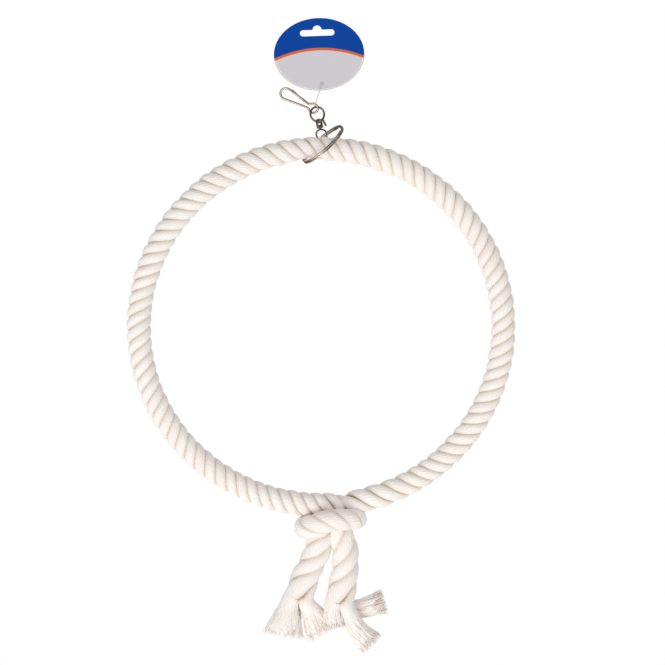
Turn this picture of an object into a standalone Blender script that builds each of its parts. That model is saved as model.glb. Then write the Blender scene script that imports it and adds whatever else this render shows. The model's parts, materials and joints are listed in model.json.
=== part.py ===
"""Rope ring bird swing: a perch ring of laid cotton rope on a wire hoop, knotted at the bottom with two
frayed ends, hung from a split ring, a small swivel and a sprung wire snap that carries an oval hang tag.

Metres, +Z up. The origin is where a bar or cage wire bears, inside the crown of the snap. The swing hangs
below it, seen from the front along +Y, with its ring close to the XZ plane. Everything below the snap is one
chain of links, and each link is placed from the one above it.
"""

import math

import bmesh
import bpy
from mathutils import Matrix, Vector

MM = 0.001
X_AXIS = Vector((1, 0, 0))
Y_AXIS = Vector((0, 1, 0))

# Clearances
SEAT_GAP = 0.3 * MM  # between pieces that bear on each other
BUTT_GAP = 0.5 * MM  # between the two rope ends that meet in the ring
SEAT_STEP = 0.05 * MM  # the rope ring is raised in the split ring by this until it clears

# Rope and ring
ROPE_D = 15.4 * MM  # between the crowns of its strands and the grooves
RING_D = 252 * MM  # to the middle of the rope
HOOP_WIRE_D = 4 * MM
BUTT_ANGLE = math.radians(7)  # the rope ends meet this far right of the lowest point

# Free rope ends, and the knot that binds them
TAIL_D = 17 * MM
TAIL_WAIST_D = 0.86 * TAIL_D  # where the two ends lie side by side under the knot
WAIST_LENGTH = 12 * MM  # in which an end swells from its waist to its full width
NECK_D = 0.52 * TAIL_D  # where the ends are squeezed in the knot
NECK_SPACING = NECK_D + 2 * SEAT_GAP
KNOT_ROPE_D = 15 * MM  # the rope is drawn tight here
KNOT_ROOM = 0.13 * NECK_D  # between the necks and the turn of rope round them
KNOT_ACROSS = NECK_SPACING + NECK_D + 2 * (KNOT_ROOM + KNOT_ROPE_D)
KNOT_OFFSET = 7 * MM  # the knot lies right of the ring's lowest point
KNOT_DROP = 0.79 * ROPE_D  # from the ring's lowest centre to the middle of the front band
KNOT_REACH = (ROPE_D + KNOT_ROPE_D) / 2 + 2 * SEAT_GAP  # from the ring's rope to the turn's
KNOT_SAG = KNOT_REACH - KNOT_DROP  # the ends of the turn lie under the ring, lower than its front and back
NECK_TOP = 0.8 * MM  # above the middle of the knot
NECK_END = 0.68 * KNOT_ROPE_D  # below it

# Both ends are drawn in mm for a rope end of this diameter, and scale with it.
# Each is drawn as points across from the middle of the knot and up from the end of the neck.
# It bends at the first of them.
DRAWN_D = 17
LEFT_TAIL = ((-8.4, -7.8), (-10.2, -15.8), (-16.2, -29.6), (-20.6, -41.8))
RIGHT_TAIL = ((8.8, -7.8), (10.2, -18.5), (9.6, -33.2), (7.4, -44.8))
# A strand starts at a point across and behind the rope's end, goes on by points across and up from there, and
# moves back by this much in STRAND_BACK_OVER of its way down.
STRAND_D = 8.4
STRAND_STRAIGHT = 5.5  # each strand leaves the end of the rope straight
STRAND_BACK_OVER = 25
LEFT_STRANDS = {
    "left_strand_front": {
        "start": (-4.2, -2.6), "way": ((-4.6, -11.0), (-8.5, -27.0)), "back": 0, "end_d": 13,
    },
    "left_strand_right": {"start": (4.6, -2.2), "way": ((2.5, -10.0), (9.0, -27.0)), "back": 5, "end_d": 11},
    "left_strand_back": {"start": (0.2, 4.9), "way": ((-3.0, -11.0), (-3.5, -22.0)), "back": 5, "end_d": 10},
}
RIGHT_STRANDS = {
    "right_strand_front": {
        "start": (-4.2, -2.6), "way": ((-1.0, -10.0), (0.2, -19.5)), "back": 0, "end_d": 9.6,
    },
    "right_strand_curl": {
        "start": (4.6, -2.2), "way": ((1.0, -12.0), (8.0, -22.5), (19.0, -29.5)), "back": 0, "end_d": 9,
    },
    "right_strand_side": {
        "start": (0.2, 4.9), "way": ((4.0, -9.5), (14.0, -8.5), (25.0, -1.5)), "back": 6, "end_d": 10,
    },
}

# Split ring: two turns of flat wire
SPLIT_D = 2.27 * ROPE_D  # outside
SPLIT_WIRE_H = 0.95 * MM  # along the ring's axis
SPLIT_WIRE_W = 2.1 * MM  # across the ring
SPLIT_TURN_GAP = 0.45 * MM
SPLIT_STEP = math.radians(50)  # the arc in which the wire climbs from one turn to the next
SPLIT_END_GAP = math.radians(6)  # from each end of the wire to that climb
SPLIT_LEAN = math.radians(41.7)  # its long axis, from level
SPLIT_SLANT = math.radians(74)  # its plane, from the plane of the rope ring
SPLIT_LINK = math.radians(-80)  # where on its own circle the swivel's eye holds it
SPLIT_START = math.radians(110)  # where the wire begins, from there
ROPE_AHEAD = 2 * MM  # the rope lies this far in front of the split ring's middle
RING_SIDE = 2.6 * MM  # the rope ring's centre lies right of the swivel ring's centre
RING_TILT = math.radians(7.2)  # it leans back from upright, so that its weight hangs under the swivel's eye

# Swivel
SWIVEL_LEAN = math.radians(11.7)  # its axis, from upright
SWIVEL_TURN = math.radians(20)  # its ring, turned about that axis out of the plane of the rope ring
EYE_TURN = math.radians(40)  # its eye, likewise
SWIVEL_WIRE_D = 1.2 * MM
SWIVEL_RING_D = 10.2 * MM  # to the middle of the wire
LIP_REACH = 1.3 * MM  # the ring's free end stands out from the yoke by this
LIP_LENGTH = 4.6 * MM
RING_FIXED_END = math.radians(262)  # where on its circle the ring's wire begins, in the yoke
SOCKET_SPAN = (math.radians(268), math.radians(232))  # the hollow for it
YOKE_D = 4.6 * MM
YOKE_TOP = SWIVEL_RING_D / 2 - 1.9 * MM  # all of these down from the swivel ring's centre
YOKE_SHOULDER = YOKE_TOP + 1.0 * MM
YOKE_CAVITY = YOKE_TOP + 3.4 * MM
YOKE_FLOOR = YOKE_TOP + 5.8 * MM
YOKE_END = YOKE_TOP + 6.8 * MM
YOKE_EDGE = 0.25 * MM
YOKE_WALL = 0.65 * MM
YOKE_WINDOW = 1.9 * MM  # wide
WINDOW_INSET = 0.2 * MM  # from the top and floor of the cavity
STEM_D = 1.5 * MM
STEM_HEAD_D = 2.6 * MM
STEM_HEAD_H = 1.1 * MM
EYE_HALF_W = 4.5 * MM  # to the middle of its wire
EYE_HALF_H = 3.5 * MM
LINK_DROP = 0.7 * MM  # the split ring's wire lies below the middle of the eye

# Snap, along its length from where the swivel ring passes through its base loop
CLIP_TILT = math.radians(28)  # its axis, up and to the left, from level
CLIP_TURN = math.radians(20)  # its plane, turned about that axis
CLIP_WIRE_D = 1.3 * MM
CLIP_BASE_R = 3.3 * MM
CLIP_NECK_X = 4.4 * MM
CLIP_NECK_HALF = 1.05 * MM
CLIP_CROWN_X = 21.1 * MM
CLIP_CROWN_R = 4.3 * MM
CLIP_LEG_KNEE_X = 15 * MM
CATCH_LENGTH = 6.9 * MM
GATE_LAP = 4.2 * MM  # how far the gate's tip reaches under the catch
GATE_W = 1.6 * MM  # pressed flat in the plane of the snap
GATE_H = 1.0 * MM
GATE_FLAT_FROM = 0.3  # of its length
GATE_ROUNDED = 0.12  # of its length, at the tip
CLIP_SEAT = math.radians(115)  # where on the swivel ring the snap hangs

# Hang tag
TAG_W = 63.2 * MM
TAG_H = 50.6 * MM
TAG_T = 0.6 * MM
TAG_TURN = math.radians(2)
TAG_SIDE = 2.7 * MM  # right of the wire that its filament goes round
FILAMENT_REACH = 14.5 * MM  # from that wire up to the hole
STRING_HOLE_D = 2.4 * MM
STRING_HOLE = (1.4 * MM, 4.9 * MM - TAG_H / 2)  # from the card's centre
SLOT_W = 24.2 * MM
SLOT_H = 4.4 * MM
SLOT_UP = TAG_H / 2 - 10.3 * MM  # from the card's centre
SLOT_SIDE = -0.8 * MM
SLOT_BUMP_D = 6.4 * MM
SLOT_BUMP_UP = 2.0 * MM
FILAMENT_D = 0.5 * MM
LOCK_D = 1.8 * MM
LOCK_LENGTH = 2.2 * MM
LOCK_BELOW_HOLE = 3.2 * MM

# Fineness
RING_STEPS = 72
SPLIT_STEPS = 40  # a turn
KNOT_STEPS = 36
EYE_STEPS = 28
TAG_STEPS = 56
CURVE_STEPS = 24  # between two drawn points of a smooth path
ROPE_SIDES = 12
ROPE_STEP = 4 * MM
CAP_STEPS = 5
WIRE_STEP = 0.9 * MM


def clear_scene():
    for obj in list(bpy.data.objects):
        bpy.data.objects.remove(obj, do_unlink=True)


def principled(name, colour, roughness, metallic=0.0):
    mat = bpy.data.materials.new(name)
    mat.use_nodes = True
    shader = mat.node_tree.nodes["Principled BSDF"]
    shader.inputs["Base Color"].default_value = (*colour, 1)
    shader.inputs["Roughness"].default_value = roughness
    shader.inputs["Metallic"].default_value = metallic
    return mat


def frame_matrix(x, y, z, origin):
    """The matrix of a frame with these axes, as columns, at this origin."""
    return Matrix.Translation(origin) @ Matrix((x, y, z)).transposed().to_4x4()


def pivot(name, world, parent=None):
    """An empty on a joint's axis. Its pieces are modelled in its own coordinates."""
    empty = bpy.data.objects.new(name, None)
    empty.empty_display_size = 10 * MM
    bpy.context.collection.objects.link(empty)
    if parent:
        bpy.context.view_layer.update()
        empty.parent = parent
        empty.matrix_parent_inverse = parent.matrix_world.inverted()
    empty.matrix_basis = world
    return empty


def add_object(name, data, mat, parent):
    obj = bpy.data.objects.new(name, data)
    bpy.context.collection.objects.link(obj)
    obj.parent = parent
    if mat:
        data.materials.append(mat)
    return obj


def add_mesh(name, bm, mat, parent):
    bmesh.ops.recalc_face_normals(bm, faces=bm.faces)
    mesh = bpy.data.meshes.new(name)
    bm.to_mesh(mesh)
    bm.free()
    mesh.shade_smooth()
    mesh.set_sharp_from_angle(angle=math.radians(40))
    return add_object(name, mesh, mat, parent)


def arc(centre, radius, start, end, count):
    """Points on an arc in a plane, as (x, y) pairs, with both ends."""
    steps = [start + (end - start) * i / (count - 1) for i in range(count)]
    return [(centre[0] + radius * math.cos(t), centre[1] + radius * math.sin(t)) for t in steps]


def smooth_path(points, spacing, closed=False):
    """Evenly spaced points on the Catmull-Rom curve through these points."""
    points = [Vector(p) for p in points]
    count = len(points)
    fine = []
    for i in range(count if closed else count - 1):
        if closed:
            p0, p1, p2, p3 = (points[(i + k) % count] for k in (-1, 0, 1, 2))
        else:
            p1, p2 = points[i], points[i + 1]
            p0 = points[i - 1] if i else p1 * 2 - p2
            p3 = points[i + 2] if i + 2 < count else p2 * 2 - p1
        for k in range(CURVE_STEPS):
            t = k / CURVE_STEPS
            fine.append(
                0.5 * (2 * p1 + (p2 - p0) * t + (2 * p0 - 5 * p1 + 4 * p2 - p3) * t**2
                       + (3 * p1 - p0 - 3 * p2 + p3) * t**3)
            )
    fine.append(points[0] if closed else points[-1])
    lengths = [0.0]
    for a, b in zip(fine, fine[1:]):
        lengths.append(lengths[-1] + (b - a).length)
    steps = max(2, round(lengths[-1] / spacing))
    path, j = [], 0
    for i in range(steps + (0 if closed else 1)):
        wanted = lengths[-1] * i / steps
        while j < len(fine) - 2 and lengths[j + 1] < wanted:
            j += 1
        span = lengths[j + 1] - lengths[j]
        path.append(fine[j].lerp(fine[j + 1], (wanted - lengths[j]) / span if span else 0))
    return path


def tube(name, path, diameter, mat, parent, closed=False, diameters=None, resolution=2):
    """A round bar along a path, as a curve with a bevel. diameters gives its own width at each point."""
    curve = bpy.data.curves.new(name, "CURVE")
    curve.dimensions = "3D"
    curve.bevel_depth = diameter / 2
    curve.bevel_resolution = resolution
    curve.use_fill_caps = not closed
    spline = curve.splines.new("POLY")
    spline.points.add(len(path) - 1)
    spline.use_cyclic_u = closed
    for i, (point, place) in enumerate(zip(spline.points, path)):
        point.co = (*place, 1)
        point.radius = diameters[i] / diameter if diameters else 1
    return add_object(name, curve, mat, parent)


def sweep(name, stations, mat, parent):
    """A bar through rings of points, one ring for each station, closed at both ends."""
    bm = bmesh.new()
    rings = [[bm.verts.new(p) for p in ring] for ring in stations]
    sides = len(rings[0])
    for low, high in zip(rings, rings[1:]):
        for i in range(sides):
            k = (i + 1) % sides
            bm.faces.new((low[i], low[k], high[k], high[i]))
    bm.faces.new(rings[0])
    bm.faces.new(reversed(rings[-1]))
    return add_mesh(name, bm, mat, parent)


def turned(name, profile, mat, parent, sides=20):
    """A solid turned about Z from a closed outline of (radius, height) pairs."""
    bm = bmesh.new()
    verts = [bm.verts.new((r, 0, z)) for r, z in profile]
    edges = [bm.edges.new((a, b)) for a, b in zip(verts, verts[1:] + verts[:1]) if a.co.x or b.co.x]
    bmesh.ops.spin(bm, geom=verts + edges, cent=(0, 0, 0), axis=(0, 0, 1), angle=math.tau, steps=sides)
    bmesh.ops.remove_doubles(bm, verts=bm.verts, dist=0.001 * MM)
    return add_mesh(name, bm, mat, parent)


def cutter(obj):
    obj.display_type = "WIRE"
    obj.hide_render = True
    return obj


def boolean(obj, other, operation):
    modifier = obj.modifiers.new(operation.lower(), "BOOLEAN")
    modifier.operation = operation
    modifier.object = cutter(other)


def bar_cutter(name, radius, start, end, parent, sides=16):
    """A round cutter between two points."""
    way = Vector(end) - Vector(start)
    turn = way.to_track_quat("Z", "Y").to_matrix().to_4x4()
    bm = bmesh.new()
    place = Matrix.Translation((Vector(start) + Vector(end)) / 2) @ turn
    bmesh.ops.create_cone(
        bm, cap_ends=True, segments=sides, radius1=radius, radius2=radius, depth=way.length, matrix=place
    )
    return add_mesh(name, bm, None, parent)


def box_cutter(name, size, centre, parent):
    bm = bmesh.new()
    bmesh.ops.create_cube(bm, size=1, matrix=Matrix.Translation(centre) @ Matrix.Diagonal((*size, 1)))
    return add_mesh(name, bm, None, parent)


def flat(points, height=0.0):
    """Pairs of an XY drawing as points in space."""
    return [Vector((x, y, height)) for x, y in points]


def upright(points, depth=0.0):
    """Pairs of an XZ drawing as points in space."""
    return [Vector((x, depth, z)) for x, z in points]


# The links' places in the chain


def clip_axes():
    along = Vector((-math.cos(CLIP_TILT), 0, math.sin(CLIP_TILT)))
    across = Matrix.Rotation(-CLIP_TURN, 3, along) @ Vector((math.sin(CLIP_TILT), 0, math.cos(CLIP_TILT)))
    return along, across, along.cross(across)


def clip_world():
    along, across, normal = clip_axes()
    bearing = CLIP_CROWN_X + CLIP_CROWN_R - CLIP_WIRE_D / 2
    return frame_matrix(along, across, normal, -bearing * along)


def swivel_axes(turn):
    up = Vector((-math.sin(SWIVEL_LEAN), 0, math.cos(SWIVEL_LEAN)))
    side = Matrix.Rotation(turn, 3, up) @ Vector((math.cos(SWIVEL_LEAN), 0, math.sin(SWIVEL_LEAN)))
    return side, up.cross(side), up


def swivel_world():
    axes = swivel_axes(SWIVEL_TURN)
    reach = SWIVEL_RING_D / 2
    seat = axes[0] * reach * math.cos(CLIP_SEAT) + axes[2] * reach * math.sin(CLIP_SEAT)
    return frame_matrix(*axes, clip_world().translation - seat)


def eye_drop():
    """From the swivel ring's centre down to the eye's centre."""
    return YOKE_END + SEAT_GAP + SWIVEL_WIRE_D / 2 + EYE_HALF_H


def eye_world():
    axes = swivel_axes(EYE_TURN)
    return frame_matrix(*axes, swivel_world().translation - eye_drop() * axes[2])


def split_axes():
    long = Vector((math.cos(SPLIT_LEAN), 0, math.sin(SPLIT_LEAN)))
    square = Vector((math.sin(SPLIT_LEAN), 0, -math.cos(SPLIT_LEAN)))
    normal = square * math.sin(SPLIT_SLANT) + Y_AXIS * math.cos(SPLIT_SLANT)
    return long, normal.cross(long), normal


def split_radius():
    return (SPLIT_D - SPLIT_WIRE_W) / 2


def split_turns():
    return 2 - (SPLIT_STEP + SPLIT_END_GAP) / math.tau


def split_world():
    """The frame of the split ring, on its axis of rocking in the eye."""
    axes = split_axes()
    eye = eye_world()
    return frame_matrix(*axes, eye.translation - LINK_DROP * eye.col[2].to_3d())


def split_stations():
    """The rings of points of the split ring's flat wire, in its own frame.

    It has two flat turns and a climb between them.
    """
    count = round(split_turns() * SPLIT_STEPS)
    pitch = SPLIT_WIRE_H + SPLIT_TURN_GAP
    centre = -split_radius() * Vector((math.cos(SPLIT_LINK), math.sin(SPLIT_LINK), 0))
    half_w, half_h = SPLIT_WIRE_W / 2, SPLIT_WIRE_H / 2
    corner = 0.3 * SPLIT_WIRE_H
    section = [
        (half_w, half_h - corner), (half_w - corner, half_h),
        (corner - half_w, half_h), (-half_w, half_h - corner),
        (-half_w, corner - half_h), (corner - half_w, -half_h),
        (half_w - corner, -half_h), (half_w, corner - half_h),
    ]
    stations = []
    for i in range(count + 1):
        turn = math.tau * i / SPLIT_STEPS
        # the climb ends where the wire comes round to its own beginning
        climb = min(max((turn - (math.tau - SPLIT_STEP)) / SPLIT_STEP, 0), 1)
        level = pitch * (climb * climb * (3 - 2 * climb) - 0.5)
        angle = SPLIT_LINK + SPLIT_START + turn
        out = Vector((math.cos(angle), math.sin(angle), 0))
        stations.append([centre + out * (split_radius() + a) + Vector((0, 0, level + b)) for a, b in section])
    return stations


def ring_at(top):
    """The frame of a rope ring whose rope has its top here."""
    lean = Matrix.Rotation(RING_TILT, 4, "X")
    return Matrix.Translation(top) @ lean @ Matrix.Translation((0, 0, -RING_D / 2))


def rope_clearance(ring, points):
    """The least distance from these points to the rope of a ring with this frame."""
    inverse = ring.inverted()
    least = math.inf
    for point in points:
        place = inverse @ point
        in_plane = math.hypot(place.x, place.z) - RING_D / 2
        least = min(least, math.hypot(in_plane, place.y) - ROPE_D / 2)
    return least


def ring_world():
    """The rope ring's frame: it hangs in the split ring, as low as the seat gap lets it."""
    split = split_world()
    middle = split @ (-split_radius() * Vector((math.cos(SPLIT_LINK), math.sin(SPLIT_LINK), 0)))
    wire = [split @ p for station in split_stations() for p in station]
    top = Vector((swivel_world().translation.x + RING_SIDE, middle.y - ROPE_AHEAD, middle.z - ROPE_D / 4))
    while rope_clearance(ring_at(top), wire) < SEAT_GAP:
        top.z += SEAT_STEP
        if top.z > middle.z + ROPE_D / 2:
            raise ValueError("the rope does not go through the split ring")
    return ring_at(top)


def knot_middle():
    return Vector((KNOT_OFFSET, 0, -RING_D / 2 - KNOT_DROP))


def tail_pivot(drawn):
    """Where a free rope end bends, in the rope ring's frame, just under the knot."""
    scale = TAIL_D / DRAWN_D
    x, z = drawn[0]
    return knot_middle() + Vector((x * scale, 0, z * scale - NECK_END))


def tag_world():
    """On the side of the snap's base loop that lies uppermost."""
    return Matrix.Translation(clip_world() @ Vector((0, CLIP_BASE_R, 0)))


# The pieces


def build_clip(clip, steel):
    base = arc((0, 0), CLIP_BASE_R, math.radians(55), math.radians(305), 9)
    crown = arc((CLIP_CROWN_X, 0), CLIP_CROWN_R, -math.pi / 2, math.pi / 2, 9)
    leg = [(CLIP_NECK_X, -CLIP_NECK_HALF), (CLIP_LEG_KNEE_X, -0.95 * CLIP_CROWN_R)]
    catch = [(CLIP_CROWN_X - CATCH_LENGTH, CLIP_CROWN_R)]
    outline = [(CLIP_NECK_X, CLIP_NECK_HALF)] + base + leg + crown + catch
    path = smooth_path(flat(outline), WIRE_STEP)
    tube("clip_frame", path, CLIP_WIRE_D, steel, clip)


def gate_tip():
    """The gate's tip, in the snap's frame, under the catch."""
    x = CLIP_CROWN_X - CATCH_LENGTH + GATE_LAP
    return Vector((x, CLIP_CROWN_R - CLIP_WIRE_D / 2 - SEAT_GAP - GATE_W / 2, 0))


def gate_root():
    return Vector((CLIP_NECK_X + 2 * SEAT_GAP, CLIP_NECK_HALF, 0))


def build_gate(gate, steel):
    """The sprung leg: round where it leaves the base loop, pressed flat from there to its tip."""
    way = gate_tip() - gate_root()
    along = way.normalized()
    across = Vector((-along.y, along.x, 0))
    sides, count = 10, 12
    stations = []
    for i in range(count + 1):
        t = i / count
        flatness = min(t / GATE_FLAT_FROM, 1)
        rounded = max((t - 1) / GATE_ROUNDED + 0.85, 0)
        tip = math.sqrt(1 - rounded**2)
        half_w = (CLIP_WIRE_D + (GATE_W - CLIP_WIRE_D) * flatness) / 2 * tip
        half_h = (CLIP_WIRE_D + (GATE_H - CLIP_WIRE_D) * flatness) / 2 * tip
        ring = []
        for k in range(sides):
            turn = math.tau * k / sides
            ring.append(way * t + across * half_w * math.cos(turn) + Vector((0, 0, half_h * math.sin(turn))))
        stations.append(ring)
    sweep("clip_gate", stations, steel, gate)


def build_swivel(swivel, steel):
    """The ring is a spring wire with one end fixed in the yoke.

    The free end bears on the yoke and turns out as a lip.
    """
    reach = SWIVEL_RING_D / 2
    lip_x = YOKE_D / 2 + SEAT_GAP + SWIVEL_WIRE_D / 2
    lip_angle = -math.acos(lip_x / reach)
    circle = arc((0, 0), reach, RING_FIXED_END, lip_angle, 22)
    lip = [
        (lip_x + 0.25 * LIP_REACH, circle[-1][1] - 0.35 * LIP_LENGTH),
        (lip_x + LIP_REACH, circle[-1][1] - LIP_LENGTH),
    ]
    tube("swivel_ring", smooth_path(upright(circle + lip), WIRE_STEP), SWIVEL_WIRE_D, steel, swivel)

    outside, bore = YOKE_D / 2, YOKE_D / 2 - YOKE_WALL
    hole = STEM_D / 2 + SEAT_GAP
    dome = [(0.45 * outside, -YOKE_TOP - 0.15 * MM), (0.8 * outside, -(YOKE_TOP + YOKE_SHOULDER) / 2)]
    profile = [(0, -YOKE_CAVITY), (0, -YOKE_TOP)] + dome + [
        (outside, -YOKE_SHOULDER), (outside, -YOKE_END + YOKE_EDGE), (outside - YOKE_EDGE, -YOKE_END),
        (hole, -YOKE_END), (hole, -YOKE_FLOOR), (bore, -YOKE_FLOOR), (bore, -YOKE_CAVITY),
    ]
    yoke = turned("swivel_yoke", profile, steel, swivel)
    window_top = YOKE_CAVITY + WINDOW_INSET
    window_end = YOKE_FLOOR - WINDOW_INSET
    window = (YOKE_WINDOW, 2 * YOKE_D, window_end - window_top)
    middle = (0, 0, -(window_top + window_end) / 2)
    boolean(yoke, box_cutter("yoke_window", window, middle, swivel), "DIFFERENCE")
    # the socket follows the fixed end of the ring into the yoke
    socket = smooth_path(upright(arc((0, 0), reach, *SOCKET_SPAN, 6)), WIRE_STEP)
    wide = SWIVEL_WIRE_D + 2 * SEAT_GAP
    hollow = tube("yoke_socket_path", socket, wide, None, swivel)
    boolean(yoke, as_mesh(hollow, "yoke_socket", swivel), "DIFFERENCE")


def as_mesh(curve_obj, name, parent):
    """The curve's solid as a mesh object, in place of the curve."""
    evaluated = curve_obj.evaluated_get(bpy.context.evaluated_depsgraph_get())
    bm = bmesh.new()
    bm.from_mesh(bpy.data.meshes.new_from_object(evaluated))
    bmesh.ops.remove_doubles(bm, verts=bm.verts, dist=0.001 * MM)
    bpy.data.objects.remove(curve_obj, do_unlink=True)
    return add_mesh(name, bm, None, parent)


def build_eye(eye, steel):
    """A wire eye on a stem, whose head turns in the yoke."""
    head_end = eye_drop() - YOKE_FLOOR + SEAT_GAP
    stem_end = EYE_HALF_H - 0.2 * SWIVEL_WIRE_D
    stem, head = STEM_D / 2, STEM_HEAD_D / 2
    profile = [
        (0, stem_end), (stem, stem_end), (stem, head_end), (head, head_end),
        (head, head_end + 0.6 * STEM_HEAD_H),
        (0.6 * head, head_end + STEM_HEAD_H), (0, head_end + STEM_HEAD_H),
    ]
    body = turned("swivel_eye", list(reversed(profile)), steel, eye, sides=16)
    turns = [math.tau * i / EYE_STEPS for i in range(EYE_STEPS)]
    oval = [(EYE_HALF_W * math.cos(t), EYE_HALF_H * math.sin(t)) for t in turns]
    loop = tube("eye_loop_path", upright(oval), SWIVEL_WIRE_D, None, eye, closed=True)
    boolean(body, as_mesh(loop, "eye_loop", eye), "UNION")


def build_split_ring(split, steel):
    stations = split_stations()
    sweep("split_ring", stations, steel, split)
    gap = min(
        (p - q).length
        for i, ring in enumerate(stations) for other in stations[i + SPLIT_STEPS // 2:]
        for p in ring for q in other
    )
    print(f"split_ring: least gap to itself {gap / MM:.2f} mm")


def build_rope_ring(ring, cotton, steel):
    hoop = bmesh.new()
    spin_rope(hoop, [HOOP_WIRE_D / 2], math.tau)
    add_mesh("core_hoop", hoop, steel, ring)
    rope = bmesh.new()
    gap_angle = BUTT_GAP / (RING_D / 2)
    spin_rope(rope, [ROPE_D / 2, HOOP_WIRE_D / 2 + SEAT_GAP], math.tau - gap_angle)
    turn = Matrix.Rotation(math.pi / 2 - BUTT_ANGLE + gap_angle / 2, 4, "Y")
    bmesh.ops.transform(rope, matrix=turn, verts=rope.verts)
    add_mesh("ring_rope", rope, cotton, ring)


def spin_rope(bm, radii, angle):
    """A bar, or with two radii a pipe, spun round Y from +X towards -Z."""
    loops = []
    for radius in radii:
        circle = arc((RING_D / 2, 0), radius, 0, math.tau, ROPE_SIDES + 1)[:-1]
        verts = [bm.verts.new((x, y, 0)) for x, y in circle]
        loops.append([bm.edges.new((a, b)) for a, b in zip(verts, verts[1:] + verts[:1])])
    edges = [e for loop in loops for e in loop]
    if len(loops) == 2:
        bmesh.ops.bridge_loops(bm, edges=edges)
    geometry = bm.verts[:] + bm.edges[:] + bm.faces[:]
    bmesh.ops.spin(bm, geom=geometry, cent=(0, 0, 0), axis=Y_AXIS, angle=angle, steps=RING_STEPS)
    bmesh.ops.remove_doubles(bm, verts=bm.verts, dist=0.001 * MM)


def knot_half_depth():
    """The front and back of the turn clear the rope of the ring above them and the necks between them."""
    return max(math.sqrt(KNOT_REACH**2 - KNOT_DROP**2), (NECK_D + KNOT_ROPE_D) / 2 + KNOT_ROOM)


def build_knot(ring, cotton):
    """One turn of rope round both rope ends, sagging at its left and right and rising with the ring."""
    middle = knot_middle()
    half_w = (KNOT_ACROSS - KNOT_ROPE_D) / 2
    depth = knot_half_depth()
    path = []
    for i in range(KNOT_STEPS):
        t = math.tau * i / KNOT_STEPS
        x = half_w * math.cos(t)
        rise = RING_D / 2 - math.sqrt((RING_D / 2) ** 2 - (middle.x + x) ** 2)
        sag = KNOT_SAG * math.cos(t) ** 2 - rise
        path.append(middle + Vector((x, depth * math.sin(t), -sag)))
    tube("knot_wrap", path, KNOT_ROPE_D, cotton, ring, closed=True, resolution=4)


def build_neck(ring, side, name, cotton):
    """A rope end where it is squeezed in the knot. side is -1 on the left and 1 on the right."""
    middle = knot_middle() + X_AXIS * side * NECK_SPACING / 2
    path = [middle + Vector((0, 0, z)) for z in (NECK_TOP, (NECK_TOP - NECK_END) / 2, -NECK_END)]
    tube(name, path, NECK_D, cotton, ring, resolution=4)


def build_tail(tail, drawn, name, strands, cotton):
    """A free rope end, from its round head under the knot to where it comes unlaid, and its three strands.

    The tail's frame is at the middle of its head, so that the head keeps its place when the end bends.
    """
    scale = TAIL_D / DRAWN_D
    points = [Vector((x - drawn[0][0], 0, z - drawn[0][1])) * scale for x, z in drawn]
    path = smooth_path(points, ROPE_STEP)
    diameters = []
    for place in path:
        grown = min(-place.z / WAIST_LENGTH, 1)
        diameters.append(TAIL_WAIST_D + (TAIL_D - TAIL_WAIST_D) * grown)
    up = (path[0] - path[1]).normalized()
    turns = [math.pi / 2 * (i + 0.5) / (CAP_STEPS + 0.5) for i in range(CAP_STEPS)]
    head = [up * TAIL_WAIST_D / 2 * math.cos(t) for t in turns]
    head_diameters = [TAIL_WAIST_D * math.sin(t) for t in turns]
    tube(name, head + path, TAIL_D, cotton, tail, diameters=head_diameters + diameters, resolution=4)

    along = (path[-1] - path[-2]).normalized()
    for strand, drawing in strands.items():
        build_strand(tail, path[-1], along, strand, drawing, cotton)


def build_strand(tail, end, along, name, drawing, cotton):
    """One unlaid strand, from the end of the rope to its frayed tip."""
    scale = TAIL_D / DRAWN_D
    across = Vector((-along.z, 0, along.x))
    start_x, start_y = drawing["start"]
    first = end + along * SEAT_GAP + across * start_x * scale + Y_AXIS * start_y * scale
    straight = along * STRAND_STRAIGHT * scale
    route = [first + straight / 2, first + straight]
    for x, z in drawing["way"]:
        depth = start_y - drawing["back"] * z / STRAND_BACK_OVER
        route.append(Vector((first.x + x * scale, depth * scale, end.z + z * scale)))
    path = [first] + smooth_path(route, ROPE_STEP)
    last = len(path) - 1
    widths = [scale * (STRAND_D + (drawing["end_d"] - STRAND_D) * (i / last) ** 2) for i in range(last + 1)]
    tube(name, path, scale * STRAND_D, cotton, tail, diameters=widths, resolution=2)


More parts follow.
